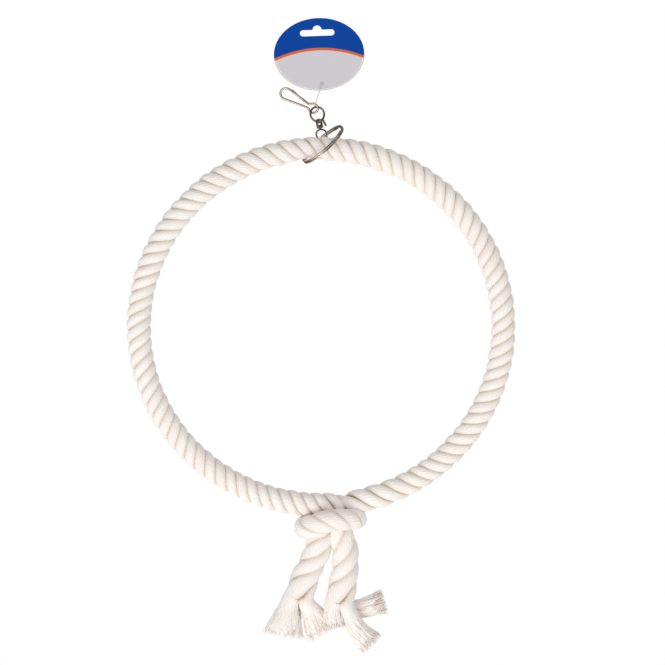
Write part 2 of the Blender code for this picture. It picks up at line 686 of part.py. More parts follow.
def build_tag(tag, card, nylon):
    centre = Vector((TAG_SIDE, 0, FILAMENT_REACH - STRING_HOLE[1]))
    turn = Matrix.Translation(centre) @ Matrix.Rotation(-TAG_TURN, 4, "Y")
    bm = bmesh.new()
    turns = [math.tau * i / TAG_STEPS for i in range(TAG_STEPS)]
    outline = [(TAG_W / 2 * math.cos(t), TAG_H / 2 * math.sin(t)) for t in turns]
    face = bm.faces.new([bm.verts.new(turn @ p) for p in upright(outline, -TAG_T / 2)])
    grown = bmesh.ops.extrude_face_region(bm, geom=[face])["geom"]
    moved = [v for v in grown if isinstance(v, bmesh.types.BMVert)]
    bmesh.ops.translate(bm, verts=moved, vec=Y_AXIS * TAG_T)
    plate = add_mesh("hang_tag", bm, card, tag)

    deep = 4 * MM
    ends = (SLOT_W - SLOT_H) / 2
    right = arc((SLOT_SIDE + ends, SLOT_UP), SLOT_H / 2, -math.pi / 2, math.pi / 2, 7)
    bump = arc((SLOT_SIDE, SLOT_UP + SLOT_BUMP_UP), SLOT_BUMP_D / 2, 0, math.pi, 9)
    left = arc((SLOT_SIDE - ends, SLOT_UP), SLOT_H / 2, math.pi / 2, 3 * math.pi / 2, 7)
    bm = bmesh.new()
    face = bm.faces.new([bm.verts.new(turn @ p) for p in upright(right + bump + left, -deep)])
    grown = bmesh.ops.extrude_face_region(bm, geom=[face])["geom"]
    moved = [v for v in grown if isinstance(v, bmesh.types.BMVert)]
    bmesh.ops.translate(bm, verts=moved, vec=Y_AXIS * 2 * deep)
    boolean(plate, add_mesh("euro_slot", bm, None, tag), "DIFFERENCE")
    hole = turn @ Vector((STRING_HOLE[0], 0, STRING_HOLE[1]))
    punch = bar_cutter("string_hole", STRING_HOLE_D / 2, hole - Y_AXIS * deep, hole + Y_AXIS * deep, tag)
    boolean(plate, punch, "DIFFERENCE")
    build_filament(tag, hole, nylon)


def build_filament(tag, hole, nylon):
    """A loop from the lock behind the card, through the hole, round the wire and up the back."""
    up = hole.normalized()
    run = hole.length
    face = TAG_T / 2 + SEAT_GAP + FILAMENT_D / 2
    round_wire = CLIP_WIRE_D / 2 + SEAT_GAP + FILAMENT_D / 2
    lock_depth = TAG_T / 2 + SEAT_GAP + LOCK_D / 2
    lock_mid = run - LOCK_BELOW_HOLE
    lock_top = lock_mid + LOCK_LENGTH / 2 + SEAT_GAP
    lock_end = lock_mid - LOCK_LENGTH / 2 - SEAT_GAP
    # distance up the filament and depth behind the card's middle
    route = [
        (lock_top, lock_depth), (run - 0.3 * MM, 0.6 * face + 0.3 * MM), (run, 0), (run - 0.5 * MM, -face),
        (run - 2.5 * MM, -1.1 * face), (0.55 * run, -1.1 * face), (0.22 * run, -1.15 * round_wire),
    ]
    under = arc((0, 0), round_wire, math.pi, math.tau, 7)
    route += [(height, depth) for depth, height in under]
    route += [(0.22 * run, 1.15 * round_wire), (0.5 * run, 1.2 * lock_depth), (lock_end, lock_depth)]
    path = smooth_path([up * height + Y_AXIS * depth for height, depth in route], 3 * FILAMENT_D)
    tube("tag_loop", path, FILAMENT_D, nylon, tag)

    turn = up.to_track_quat("Z", "Y").to_matrix().to_4x4()
    bm = bmesh.new()
    place = Matrix.Translation(up * lock_mid + Y_AXIS * lock_depth) @ turn
    bmesh.ops.create_cone(
        bm, cap_ends=True, segments=12,
        radius1=LOCK_D / 2, radius2=LOCK_D / 2, depth=LOCK_LENGTH, matrix=place,
    )
    add_mesh("tag_lock", bm, nylon, tag)


def main():
    clear_scene()
    cotton = principled("natural_cotton", (0.90, 0.86, 0.80), 0.95)
    steel = principled("nickel_plated_steel", (0.62, 0.58, 0.52), 0.22, 1)
    core = principled("galvanised_wire", (0.55, 0.55, 0.55), 0.4, 1)
    card = principled("printed_card", (0.03, 0.12, 0.38), 0.4)
    nylon = principled("clear_nylon", (0.88, 0.88, 0.88), 0.25)

    clip = pivot("snap", clip_world())
    gate_place = clip_world() @ Matrix.Translation(gate_root())
    gate = pivot("gate_pivot", gate_place, clip)
    tag = pivot("tag_pivot", tag_world(), clip)
    swivel = pivot("swivel_pivot", swivel_world(), clip)
    eye = pivot("eye_pivot", eye_world(), swivel)
    split = pivot("split_ring_pivot", split_world(), eye)
    ring = pivot("rope_ring_pivot", ring_world(), split)

    build_clip(clip, steel)
    build_gate(gate, steel)
    build_tag(tag, card, nylon)
    build_swivel(swivel, steel)
    build_eye(eye, steel)
    build_split_ring(split, steel)
    build_rope_ring(ring, cotton, core)
    build_knot(ring, cotton)
    build_neck(ring, -1, "left_neck", cotton)
    build_neck(ring, 1, "right_neck", cotton)
    for name, drawn, strands in (
        ("left_tail", LEFT_TAIL, LEFT_STRANDS), ("right_tail", RIGHT_TAIL, RIGHT_STRANDS)
    ):
        tail = pivot(name + "_pivot", ring_world() @ Matrix.Translation(tail_pivot(drawn)), ring)
        build_tail(tail, drawn, name, strands, cotton)


main()
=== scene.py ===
import json
import math

import bmesh
import bpy
import numpy as np
from bpy.props import FloatProperty, FloatVectorProperty, IntProperty, PointerProperty
from mathutils import Matrix, Vector

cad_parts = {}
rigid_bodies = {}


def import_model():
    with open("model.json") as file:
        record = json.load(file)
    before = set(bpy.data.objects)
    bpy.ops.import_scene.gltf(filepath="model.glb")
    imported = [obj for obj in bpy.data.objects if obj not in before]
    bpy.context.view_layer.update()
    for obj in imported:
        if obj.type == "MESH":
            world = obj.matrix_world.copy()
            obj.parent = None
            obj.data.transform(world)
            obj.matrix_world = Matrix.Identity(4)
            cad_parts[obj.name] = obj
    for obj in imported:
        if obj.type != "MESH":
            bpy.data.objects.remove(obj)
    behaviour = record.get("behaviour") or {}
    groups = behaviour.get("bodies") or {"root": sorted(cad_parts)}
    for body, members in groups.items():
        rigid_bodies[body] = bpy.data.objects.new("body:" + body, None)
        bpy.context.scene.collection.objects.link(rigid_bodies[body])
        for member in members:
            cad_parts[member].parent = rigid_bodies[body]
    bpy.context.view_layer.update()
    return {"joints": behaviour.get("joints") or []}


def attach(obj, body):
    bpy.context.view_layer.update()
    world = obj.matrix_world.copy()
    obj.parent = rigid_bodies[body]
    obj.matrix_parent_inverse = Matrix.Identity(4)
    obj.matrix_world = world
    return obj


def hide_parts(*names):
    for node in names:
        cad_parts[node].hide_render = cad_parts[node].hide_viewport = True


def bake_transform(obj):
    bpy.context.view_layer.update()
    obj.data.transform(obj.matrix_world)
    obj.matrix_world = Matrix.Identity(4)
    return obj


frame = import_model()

bl_info = {
    "name": "Rope Ring Bird Swing",
    "version": (1, 0, 0),
    "blender": (4, 5, 0),
    "location": "3D View > Sidebar > Swing",
    "description": "Builds a cotton rope ring swing with its knot, frayed ends, swivel snap and hang tag",
    "category": "Object",
}

JOINTS = {joint["name"]: joint for joint in frame["joints"]}
MM = 0.001

# Rope ring. It and all the other pieces follow the CAD model, in metres
RING_R = 126 * MM  # to the middle of the rope
RING_WIDE = 1.012  # it hangs a little wider than it is high
TOP_LOWER = 4.2 * MM  # its top hangs this much lower than the CAD's circle
BOTTOM_LOWER = 3.2 * MM  # and its bottom this much
BUTT_ANGLE = math.radians(173)  # clockwise from the top, where the two rope ends of the ring meet
HOOP_WIRE_D = 4 * MM

# Section of a laid strand, as parts of the rope's radius
STRAND_OUT = 0.52  # from the rope's middle to the strand's
STRAND_HIGH = 0.48  # half its height
STRAND_WIDE = 0.76  # half its width, measured square to the rope
STRAND_SQUARE = 2.2  # 2 is an ellipse, more is squarer
STRAND_SIDES = 20
GROOVE_SHADE_FROM = 0.95  # the painted groove shade begins this part of the strand's height above its middle
YARN_SLANT = 0.9  # yarns cross the strand at this slope, so that they lie along the rope

# How much of its room a strand fills. Less than 1 leaves deeper grooves
RING_FULL = 0.87
KNOT_FULL = 1.1
END_FULL = 0.9

# Knot, from the ring's lowest point
KNOT_SIDE = 7 * MM  # it lies this far to the right
KNOT_DROP = 12.2 * MM  # and its front band this far below the rope's middle
KNOT_HALF_W = 17.8 * MM
KNOT_HALF_D = 13 * MM
KNOT_SAG = 5.4 * MM  # its sides hang lower than its front by this
KNOT_LEAN = 2.2 * MM  # its left side hangs this much lower still, and its right side higher

# Free rope ends
NECK_SIDE = 4.8 * MM  # each is squeezed in the knot this far from its middle
NECK_TOP = 0.8 * MM
NECK_BOTTOM = -7 * MM
TAIL_MORE = 4.5 * MM  # the strands stay together this far beyond the CAD model's end
LAP = 10  # points by which a frayed strand overlaps the laid one
END_TURN = math.radians(140)  # where the first strand of an end leaves it, from its right round the front

# Middles of the free ends below their necks, across and up from the knot, in mm
LEFT_TAIL = ((-8.4, -18.0), (-10.4, -26.0), (-16.8, -39.8), (-21.6, -52.0))
RIGHT_TAIL = ((8.8, -18.0), (10.2, -28.7), (9.2, -43.4), (6.4, -55.0))

# Each frayed strand starts across and behind its rope's end, and its way goes across and up from there,
# in mm. In each 25 mm of its fall it goes back by so many mm. Its brush is flare times as wide as itself.
LEFT_STRANDS = {
    "left_strand_front": {
        "start": (-4.2, -2.6), "back": 0, "flare": 2.7,
        "way": ((-6.2, -18.0), (-7.8, -27.0), (-8.6, -32.5)),
    },
    "left_strand_back": {
        "start": (0.2, 4.9), "back": 5, "flare": 1.7,
        "way": ((-7.0, -18.0), (-9.5, -27.0)),
    },
    "left_strand_right": {
        "start": (4.6, -2.2), "back": 5, "flare": 2.4,
        "way": ((3.0, -13.6), (7.0, -22.7), (12.2, -31.1)),
    },
}
RIGHT_STRANDS = {
    "right_strand_front": {
        "start": (-4.2, -2.6), "back": 0, "flare": 1.5,
        "way": ((-1.2, -13.0), (-0.6, -19.5), (0.2, -24.0)),
    },
    "right_strand_side": {
        "start": (0.2, 4.9), "back": 6, "flare": 1.5,
        "way": ((4.0, -11.0), (10.5, -13.5), (19.0, -11.5), (26.9, -8.3), (31.7, -6.9)),
    },
    "right_strand_curl": {
        "start": (4.6, -2.2), "back": 0, "flare": 1.6,
        "way": ((2.4, -13.4), (6.2, -23.2), (12.2, -30.2), (18.5, -36.5)),
    },
}
BACK_PER = 25  # mm of fall

# Split ring
SPLIT_R = 17.3 * MM  # to the middle of its flat wire
SPLIT_LEAN = math.radians(43)
SPLIT_SLANT = math.radians(74)
SPLIT_HELD_AT = math.radians(-80)  # round the ring, where the eye holds it

# Swivel
SWIVEL_WIRE_D = 1.2 * MM
SWIVEL_DRAWN_D = 1.45 * MM  # its upper ring is drawn a little thicker than the CAD's wire
SWIVEL_RING_R = 5.1 * MM
SWIVEL_GAP = 0.3 * MM  # left between pieces that turn
YOKE_R = 2.3 * MM
YOKE_H = 6.8 * MM
YOKE_FLOOR = 1 * MM  # thickness under the stem's rivet head
YOKE_OVERLAP = 1.9 * MM  # the yoke reaches this far up into the ring
EYE_HALF_W = 4.8 * MM
EYE_HALF_H = 3.5 * MM
EYE_LONGER = 1.9 * MM  # its lower half is longer than the CAD's, and the split ring hangs lower with it
EYE_TURN = math.radians(20)

# Snap
CLIP_TILT = math.radians(28)
CLIP_WIRE_D = 1.5 * MM
CLIP_BEARING = 24.75 * MM  # from the base loop's middle to the inside of the crown

# Hang tag
FILAMENT_D = 0.5 * MM
TAG_W = 63.2 * MM
TAG_H = 50.6 * MM
TAG_TILT = math.radians(2)
TAG_HOLE = (1.4 * MM, 4.9 * MM - TAG_H / 2)  # for the filament, from the card's centre
TAG_HOLE_R = 0.6 * MM
TAG_HOLE_SHADOW_R = 1.4 * MM  # painted shadow reaches this far round the hole
TAG_SIDE = 2.7 * MM  # the card's middle lies right of the wire that it hangs on
TAG_HOLE_UP = 14.5 * MM  # and its hole this far above that wire

# Studio
CAMERA_PLACE = (0.0354, -2.0, -0.1686)
CAMERA_LENS = 154.7  # mm, on a sensor 36 mm wide
SENSOR_WIDTH = 36
SWING_MIDDLE = (0.03, 0, -0.17)
FLOOR_PLACE = (0.03, 0.1, -0.62)
FLOOR_R = 1.3
LIGHTS = {  # place, size and part of the key light's power
    "key_light": ((-0.69, -2.08, -2.15), 1.44, 1.0),
    "strip_light": ((1.1, -0.9, 0.7), 0.35, 0.0625),
}
SOFT_FROM = (-0.25, -0.55, -0.8)  # the way to the sky's brightest side, for soft things
GLEAM_FROM = (-0.5, -0.55, -0.67)  # and to the gleam that shows in metal


def linear(code):
    """The linear colour of an sRGB hex code."""
    channels = [int(code[i:i + 2], 16) / 255 for i in (1, 3, 5)]
    return tuple(c / 12.92 if c <= 0.04045 else ((c + 0.055) / 1.055) ** 2.4 for c in channels)


def colour_property(name, description, code):
    return FloatVectorProperty(
        name=name, description=description, default=linear(code), size=3, min=0, max=1, subtype="COLOR",
    )


def size_property(name, description, default):
    return FloatProperty(
        name=name, description=description, default=default, min=0.0001, max=0.1, subtype="DISTANCE",
        unit="LENGTH", precision=5,
    )


class SwingRopeSettings(bpy.types.PropertyGroup):
    rope_d: size_property("Rope diameter", "Over the crowns of the ring's strands", 17.2 * MM)
    lay: size_property("Lay", "Length in which a strand of the ring goes once round", 26.3 * MM)
    loose_lay: size_property("Loose lay", "The same at the knot and in the free ends", 41 * MM)
    tail_d: size_property("End diameter", "Over the strands of the free rope ends", 19.2 * MM)
    yarn_d: size_property("Yarn diameter", "Of the yarns that a strand is spun from", 0.95 * MM)
    yarns: IntProperty(name="Yarns", description="In each frayed strand", default=210, min=10, max=300)
    seed: IntProperty(name="Seed", description="Sets how the ends fray", default=7, min=0)
    cotton: colour_property("Cotton", "Bleached yarn in the light", "#FCF5F0")
    # painted shade of the lit cotton colour above, also the colour of random darker patches
    shade: colour_property("Cotton shade", "Yarn between the lit ones", "#E7DBCE")
    # painted shade, deepest where two strands meet
    groove: colour_property("Groove", "Fibre deep between two strands", "#AE9A85")


class SwingSteelSettings(bpy.types.PropertyGroup):
    nickel: colour_property("Nickel", "Reflection of the bright plate", "#D2C2B3")
    # random duller patches on the bright plate, and the lighter colour of its darker copy, which is painted
    # shade
    worn_and_shaded: colour_property("Worn nickel", "Duller patches of the plate", "#AF9C90")
    # painted shade: the darkest colour of the darker copy of the plate, in random patches
    rubbed: colour_property("Rubbed nickel", "Where hands and links have dulled the plate", "#786A61")
    zinc: colour_property("Zinc", "Coating of the hoop inside the rope", "#B9BCC0")


class SwingTagSettings(bpy.types.PropertyGroup):
    header: colour_property("Header", "Ink round the hanging slot", "#00439F")
    panel: colour_property("Panel", "Ink on the lower part of the card", "#D0CDD3")
    stripe: colour_property("Stripe", "Ink between the two", "#E0672B")
    rim: colour_property("Rim", "Unprinted edge of the card", "#F6F2EE")
    # bare board at the cut, and also the colour of the painted shadow line along the lower rim
    board: colour_property("Board", "Bare board at the cut edge", "#B9A28F")
    # painted shadow round the filament's hole
    hole_shadow: colour_property("Torn board", "Torn board round the filament's hole", "#7A6E66")
    nylon: colour_property("Nylon", "Clear filament", "#F2F2F0")


class SwingStageSettings(bpy.types.PropertyGroup):
    floor: colour_property("Floor", "Pale studio floor", "#F1F1F0")
    key: FloatProperty(
        name="Key light", description="Soft light from below in front", default=33, min=0, unit="POWER",
    )
    sky: FloatProperty(
        name="Sky", description="Strength of the light from all round", default=0.66, min=0, max=5,
    )


# Paths


def unit(rows):
    return rows / np.linalg.norm(rows, axis=-1, keepdims=True)


def square_to(rows, along):
    """The rows turned square to a path, at unit length."""
    return unit(rows - along * np.sum(rows * along, axis=1, keepdims=True))


def directions(points, closed=False):
    """The way that a path goes at each of its points."""
    if closed:
        return unit(np.roll(points, -1, axis=0) - np.roll(points, 1, axis=0))
    return unit(np.gradient(points, axis=0))


def path_length(points):
    """The length of a path up to each of its points."""
    gaps = np.linalg.norm(np.diff(points, axis=0), axis=1)
    return np.concatenate([[0], np.cumsum(gaps)])


def read_along(length, values, wanted):
    """Rows of values given along a path, read at other lengths."""
    return np.column_stack([np.interp(wanted, length, column) for column in values.T])


def resample(points, count):
    """As many points, evenly spaced along the path."""
    length = path_length(points)
    return read_along(length, points, np.linspace(0, length[-1], count))


def smooth_path(points, step):
    """Points a step apart on a smooth curve through these points."""
    points = np.asarray(points, float)
    ends = np.vstack([2 * points[0] - points[1], points, 2 * points[-1] - points[-2]])
    t = np.linspace(0, 1, 24, endpoint=False)[:, None]
    fine = []
    for a, b, c, d in zip(ends, ends[1:], ends[2:], ends[3:]):
        bend = (2 * a - 5 * b + 4 * c - d) * t**2 + (3 * b - 3 * c + d - a) * t**3
        fine.append(0.5 * (2 * b + (c - a) * t + bend))
    fine = np.vstack(fine + [points[-1:]])
    return resample(fine, max(round(path_length(fine)[-1] / step), 4) + 1)


def relaxed(points, held, rounds):
    """The points with their sharp turns eased, all but the first few and the last."""
    points = np.array(points)
    for _ in range(rounds):
        points[held:-1] = 0.25 * points[held - 1:-2] + 0.5 * points[held:-1] + 0.25 * points[held + 1:]
    return points


def carry_normals(points, first):
    """The path's directions, and a normal carried along it without twisting."""
    along = directions(points)
    normal = np.asarray(first, float)
    normals = []
    for direction in along:
        normal = unit(normal - direction * normal.dot(direction))
        normals.append(normal)
    return along, np.array(normals)


def smoothstep(values, low, high):
    t = np.clip((values - low) / (high - low), 0, 1)
    return t * t * (3 - 2 * t)


def hump(values, middle, width):
    """A smooth rise to 1 at the middle."""
    return np.exp(-(((values - middle) / width) ** 2))


def clumps(rng, count, width):
    """Uneven heights round a section, alike over so many of its sides, from about -2 to 2."""
    sides = np.arange(count)
    bell = hump(np.minimum(sides, count - sides), 0, width)
    heights = np.fft.irfft(np.fft.rfft(rng.normal(0, 1, count)) * np.fft.rfft(bell), count)
    return heights / heights.std()


def wobble(values, rng, size, waves):
    """Smooth irregularity along a path, so that no two turns are quite alike."""
    total = np.zeros_like(values)
    for wave in waves:
        total += np.sin(math.tau * values / wave + rng.uniform(0, math.tau)) / len(waves)
    return size * total


def arc(centre, radius, start, end, count):
    """Points of a flat arc, both ends included."""
    turns = np.linspace(start, end, count)
    return [(centre[0] + radius * math.cos(t), centre[1] + radius * math.sin(t)) for t in turns]


def flat_to_world(pairs, place):
    """Pairs of a flat drawing, along the first two axes of a place."""
    pairs = np.asarray(pairs, float)
    return place[3] + pairs[:, :1] * place[0] + pairs[:, 1:2] * place[1]


# Meshes, from rings of points


def round_turns(sides):
    return math.tau * np.arange(sides) / sides


def yarn_marks(rings, along, girth, groove=0.0):
    """What the cotton and the plate are patterned by, for each point.

    These are metres along the strand or wire, metres round it, and its depth in a groove, from 0 to 1,
    which sets the cotton's painted shade.
    """
    marks = np.empty_like(rings)
    marks[..., 0] = along[:, None]
    marks[..., 1] = girth
    marks[..., 2] = groove
    return marks


def sections(centre, side, out, wide, high, square, sides):
    """Rings of a flattened section along a strand or a flat wire, with their marks."""
    turn = round_turns(sides)
    u = np.sign(np.cos(turn)) * np.abs(np.cos(turn)) ** (2 / square)
    v = np.sign(np.sin(turn)) * np.abs(np.sin(turn)) ** (2 / square)
    wide = np.broadcast_to(wide, len(centre))[:, None, None]
    high = np.broadcast_to(high, len(centre))[:, None, None]
    rings = centre[:, None] + side[:, None] * wide * u[:, None] + out[:, None] * high * v[:, None]
    girth = turn * float(np.mean(wide) + np.mean(high)) / 2
    # how far down towards a groove each point lies, which sets the cotton's painted shade
    groove = np.clip((GROOVE_SHADE_FROM - v) / GROOVE_SHADE_FROM, 0, 1)
    return rings, yarn_marks(rings, path_length(centre), girth, groove)


def strand_width(radius, lay):
    """Half the width of a strand across its own length, so that it just fills the rope at this lay."""
    steepness = math.tau * STRAND_OUT * radius / lay
    return STRAND_WIDE * radius / np.sqrt(1 + steepness**2)


def lay_turns(length, lay):
    """How far a strand has gone round its rope at each length."""
    return np.concatenate([[0], np.cumsum(np.diff(length) * math.tau / lay[1:])])


def laid_strand(points, along, normals, turn, radius, lay, full, closed=False):
    """One strand of a laid rope: its rings and marks, and its own middle, way and outer side.

    It goes round the path as turn grows, right-handed.
    """
    across = np.cross(along, normals)
    out = normals * np.cos(turn)[:, None] + across * np.sin(turn)[:, None]
    centre = points + out * (STRAND_OUT * radius)[:, None]
    run = directions(centre, closed)
    out = square_to(out, run)
    wide = full * strand_width(radius, lay)
    rings, marks = sections(
        centre, np.cross(out, run), out, wide, STRAND_HIGH * radius, STRAND_SQUARE, STRAND_SIDES,
    )
    return rings, marks, (centre, run, out)


def tube(points, along, normals, radius, sides):
    """Rings of a round section along a path."""
    turn = round_turns(sides)
    side = np.cross(normals, along)
    return points[:, None] + radius[:, None, None] * (
        side[:, None] * np.cos(turn)[:, None] + normals[:, None] * np.sin(turn)[:, None]
    )


def wire(points, first, radius, sides=18, closed=False):
    """Rings of a round wire with their marks. Its ends are rounded unless it is closed."""
    points = np.asarray(points, float)
    radii = np.full(len(points), radius)
    if closed:
        along = directions(points, closed)
        normals = square_to(np.asarray(first, float), along)
    else:
        caps = np.linspace(0, math.pi / 2, 6)[:-1]
        beyond = (radius * np.cos(caps))[:, None]
        head = points[0] + unit(points[0] - points[1]) * beyond
        tail = points[-1] + unit(points[-1] - points[-2]) * beyond[::-1]
        small = radius * np.maximum(np.sin(caps), 0.06)
        points = np.vstack([head, points, tail])
        radii = np.concatenate([small, radii, small[::-1]])
        along, normals = carry_normals(points, first)
    rings = tube(points, along, normals, radii, sides)
    return rings, yarn_marks(rings, path_length(points), round_turns(sides) * radius)


def turned(profile, place, sides):
    """Rings of a turned piece with their marks.

    The profile is pairs of radius and height, from one end at the axis to the other.
    """
    profile = np.asarray(profile, float)
    x, y, z, origin = place
    turn = round_turns(sides)
    spokes = np.cos(turn)[:, None] * x + np.sin(turn)[:, None] * y
    rings = origin + profile[:, 1, None, None] * z + profile[:, 0, None, None] * spokes
    return rings, yarn_marks(rings, path_length(profile), turn * profile[:, 0].max())


def add_object(name, data):
    obj = bpy.data.objects.new(name, data)
    bpy.context.scene.collection.objects.link(obj)
    return obj


def grid_mesh(name, grids, closed=False):
    """One mesh object from grids of rings, with their marks."""
    places, marks, faces = [], [], []
    start = 0
    for rings, ring_marks in grids:
        count, sides = rings.shape[:2]
        index = start + np.arange(count * sides).reshape(count, sides)
        after = np.roll(index, -1, axis=0) if closed else index[1:]
        before = index if closed else index[:-1]
        quads = np.stack([before, np.roll(before, -1, 1), np.roll(after, -1, 1), after], axis=-1)
        faces += quads.reshape(-1, 4).tolist()
        if not closed:
            faces += [index[0, ::-1].tolist(), index[-1].tolist()]
        places.append(rings.reshape(-1, 3))
        marks.append(ring_marks.reshape(-1, 3))
        start += count * sides
    mesh = bpy.data.meshes.new(name)
    mesh.from_pydata(np.vstack(places).tolist(), [], faces)
    store = mesh.attributes.new("yarn", "FLOAT_VECTOR", "POINT")
    store.data.foreach_set("vector", np.vstack(marks).astype(np.float32).ravel())
    mesh.update()
    mesh.shade_smooth()
    return add_object(name, mesh)


def poly_spline(curve, points):
    """Add a run of straight pieces through these points to a curve."""
    spline = curve.splines.new("POLY")
    spline.points.add(len(points) - 1)
    for point, place in zip(spline.points, points):
        point.co = (*place, 1)
    return spline


def evaluated_mesh(obj):
    """A new mesh of an object with its modifiers or its curve's bevel worked out."""
    return bpy.data.meshes.new_from_object(obj.evaluated_get(bpy.context.evaluated_depsgraph_get()))


def settle(obj, body, material, slot, *nodes):
    """Give a piece its material, the nodes that it stands for and the body that it rides on."""
    obj.data.materials.append(material)
    if nodes:
        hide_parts(*nodes)
    if body:
        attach(obj, body)


# Places, from the frame's joints


def joint_place(name):
    return np.array(JOINTS[name]["pos_m"])


def joint_axis(name):
    return unit(np.array(JOINTS[name]["axis"], float))


def ring_place():
    """The rope ring's right, back and up, and its centre."""
    back = joint_axis("rope_slide")
    right = np.array((1.0, 0.0, 0.0))
    return right, back, np.cross(right, back), joint_place("rope_slide")


def in_ring(local):
    """Points given in the rope ring's frame, in the world."""
    right, back, up, centre = ring_place()
    local = np.asarray(local, float)
    return centre + local[:, :1] * right + local[:, 1:2] * back + local[:, 2:3] * up


def clip_place():
    """The snap's length, its width, its normal and the middle of its base loop."""
    along = np.array((-math.cos(CLIP_TILT), 0, math.sin(CLIP_TILT)))
    normal = -joint_axis("gate_spring")
    return along, np.cross(normal, along), normal, -CLIP_BEARING * along


def swivel_place():
    """The swivel's right, back and up, and the middle of its ring."""
    up = joint_axis("swivel_spin")
    back = joint_axis("clip_swing")
    return np.cross(back, up), back, up, joint_place("clip_swing")


def eye_place():
    """The eye's right, back and up, and its middle."""
    right, back, up, _ = swivel_place()
    side = right * math.cos(EYE_TURN) + back * math.sin(EYE_TURN)
    return side, np.cross(up, side), up, joint_place("swivel_spin")


def split_place():
    """The long way of the split ring, the way square to it, its axis and its centre."""
    long = np.array((math.cos(SPLIT_LEAN), 0, math.sin(SPLIT_LEAN)))
    normal = np.array((math.sin(SPLIT_LEAN), 0, -math.cos(SPLIT_LEAN))) * math.sin(SPLIT_SLANT)
    normal = normal + np.array((0, math.cos(SPLIT_SLANT), 0))
    square = np.cross(normal, long)
    held = joint_place("split_rock") - np.array((0, 0, EYE_LONGER))
    centre = held - SPLIT_R * (long * math.cos(SPLIT_HELD_AT) + square * math.sin(SPLIT_HELD_AT))
    return long, square, normal, centre


def tag_place():
    """The card's right, up and back, and the wire that its filament goes round."""
    axis = joint_axis("tag_swing")
    up = np.array((-axis[2], 0, axis[0]))
    return axis, up, np.array((0, 1.0, 0)), joint_place("tag_swing")


# Materials


def new_material(name):
    material = bpy.data.materials.new(name)
    material.use_nodes = True
    material.node_tree.nodes.clear()
    return material, material.node_tree


def node(tree, kind, inputs=None, **settings):
    """Add a shader node and give its outputs. An input is a value or an output of another node."""
    made = tree.nodes.new("ShaderNode" + kind)
    for name, value in settings.items():
        setattr(made, name, value)
    for key, value in (inputs or {}).items():
        if isinstance(value, bpy.types.NodeSocket):
            tree.links.new(value, made.inputs[key])
        else:
            made.inputs[key].default_value = value
    return made.outputs


def opaque(colour):
    return (*colour, 1.0)


def cotton_material(rope):
    """Undyed bleached cotton: soft matt yarns with a fine sheen, and painted shade between the yarns, down
    each strand's sides and deepest where two strands meet.
    """
    # the fibres are far coarser than real ones, and the yarns twice as wide, so that they show
    fibre_long, fibre_wide = 6 * MM, 0.5 * MM
    yarn_wide = 2 * rope.yarn_d
    patch_long, patch_wide = 18 * MM, 5 * MM
    material, tree = new_material("bleached_cotton_yarn")
    place = node(tree, "Attribute", attribute_name="yarn")["Vector"]
    along, girth, groove = node(tree, "SeparateXYZ", {"Vector": place})
    # the yarns are twisted against the lay of their strand, and the fibres are drawn out along them
    across = node(tree, "Math", {0: along, 1: YARN_SLANT, 2: girth}, operation="MULTIPLY_ADD")[0]
    on_yarn = node(tree, "CombineXYZ", {"X": along, "Y": across})[0]
    drawn = node(tree, "Mapping", {"Vector": on_yarn, "Scale": (1 / fibre_long, 1 / fibre_wide, 0)})[0]
    fibre = node(tree, "TexNoise", {"Vector": drawn, "Scale": 1.0, "Detail": 2.0})["Fac"]
    spot = node(tree, "Mapping", {"Vector": place, "Scale": (1 / patch_long, 1 / patch_wide, 0)})[0]
    patch = node(tree, "TexNoise", {"Vector": spot, "Scale": 1.0, "Detail": 1.0})["Fac"]
    # each yarn is a ridge, and none of them runs quite straight
    count = node(tree, "Math", {0: across, 1: yarn_wide}, operation="DIVIDE")[0]
    phase = node(tree, "Math", {0: patch, 1: 3.0, 2: count}, operation="MULTIPLY_ADD")[0]
    angle = node(tree, "Math", {0: phase, 1: math.pi}, operation="MULTIPLY")[0]
    wave = node(tree, "Math", {0: angle}, operation="SINE")[0]
    ridge = node(tree, "Math", {0: wave}, operation="ABSOLUTE")[0]
    height = node(tree, "Math", {0: fibre, 1: 0.8, 2: ridge}, operation="MULTIPLY_ADD")[0]
    bump = node(tree, "Bump", {"Height": height, "Strength": 0.6, "Distance": 0.3 * MM})[0]
    # painted shade in the valleys between the yarn ridges
    valley_shade = node(tree, "MapRange", {0: height, 1: 0.3, 2: 1.0, 3: 0.45, 4: 0.0})[0]
    mottled = node(tree, "MapRange", {0: patch, 1: 0.4, 2: 0.8, 3: 0.0, 4: 0.35})[0]
    # painted shade: each strand darkens softly to its sides, then sharply where it meets the next one
    side_shade = node(tree, "MapRange", {0: groove, 1: 0.05, 2: 0.6, 3: 0.0, 4: 0.8})[0]
    deep = node(tree, "MapRange", {0: groove, 1: 0.5, 2: 0.95}, interpolation_type="SMOOTHSTEP")[0]
    colour = opaque(rope.cotton)
    tints = ((valley_shade, rope.shade), (mottled, rope.shade), (side_shade, rope.shade), (deep, rope.groove))
    for share, tint in tints:
        colour = node(tree, "Mix", {0: share, 6: colour, 7: opaque(tint)}, data_type="RGBA")[2]
    shader = node(tree, "BsdfPrincipled", {
        "Base Color": colour, "Roughness": 0.9, "IOR": 1.53, "Specular IOR Level": 0.25,
        "Sheen Weight": 0.2, "Sheen Roughness": 0.6, "Normal": bump,
    })[0]
    node(tree, "OutputMaterial", {"Surface": shader})
    return material


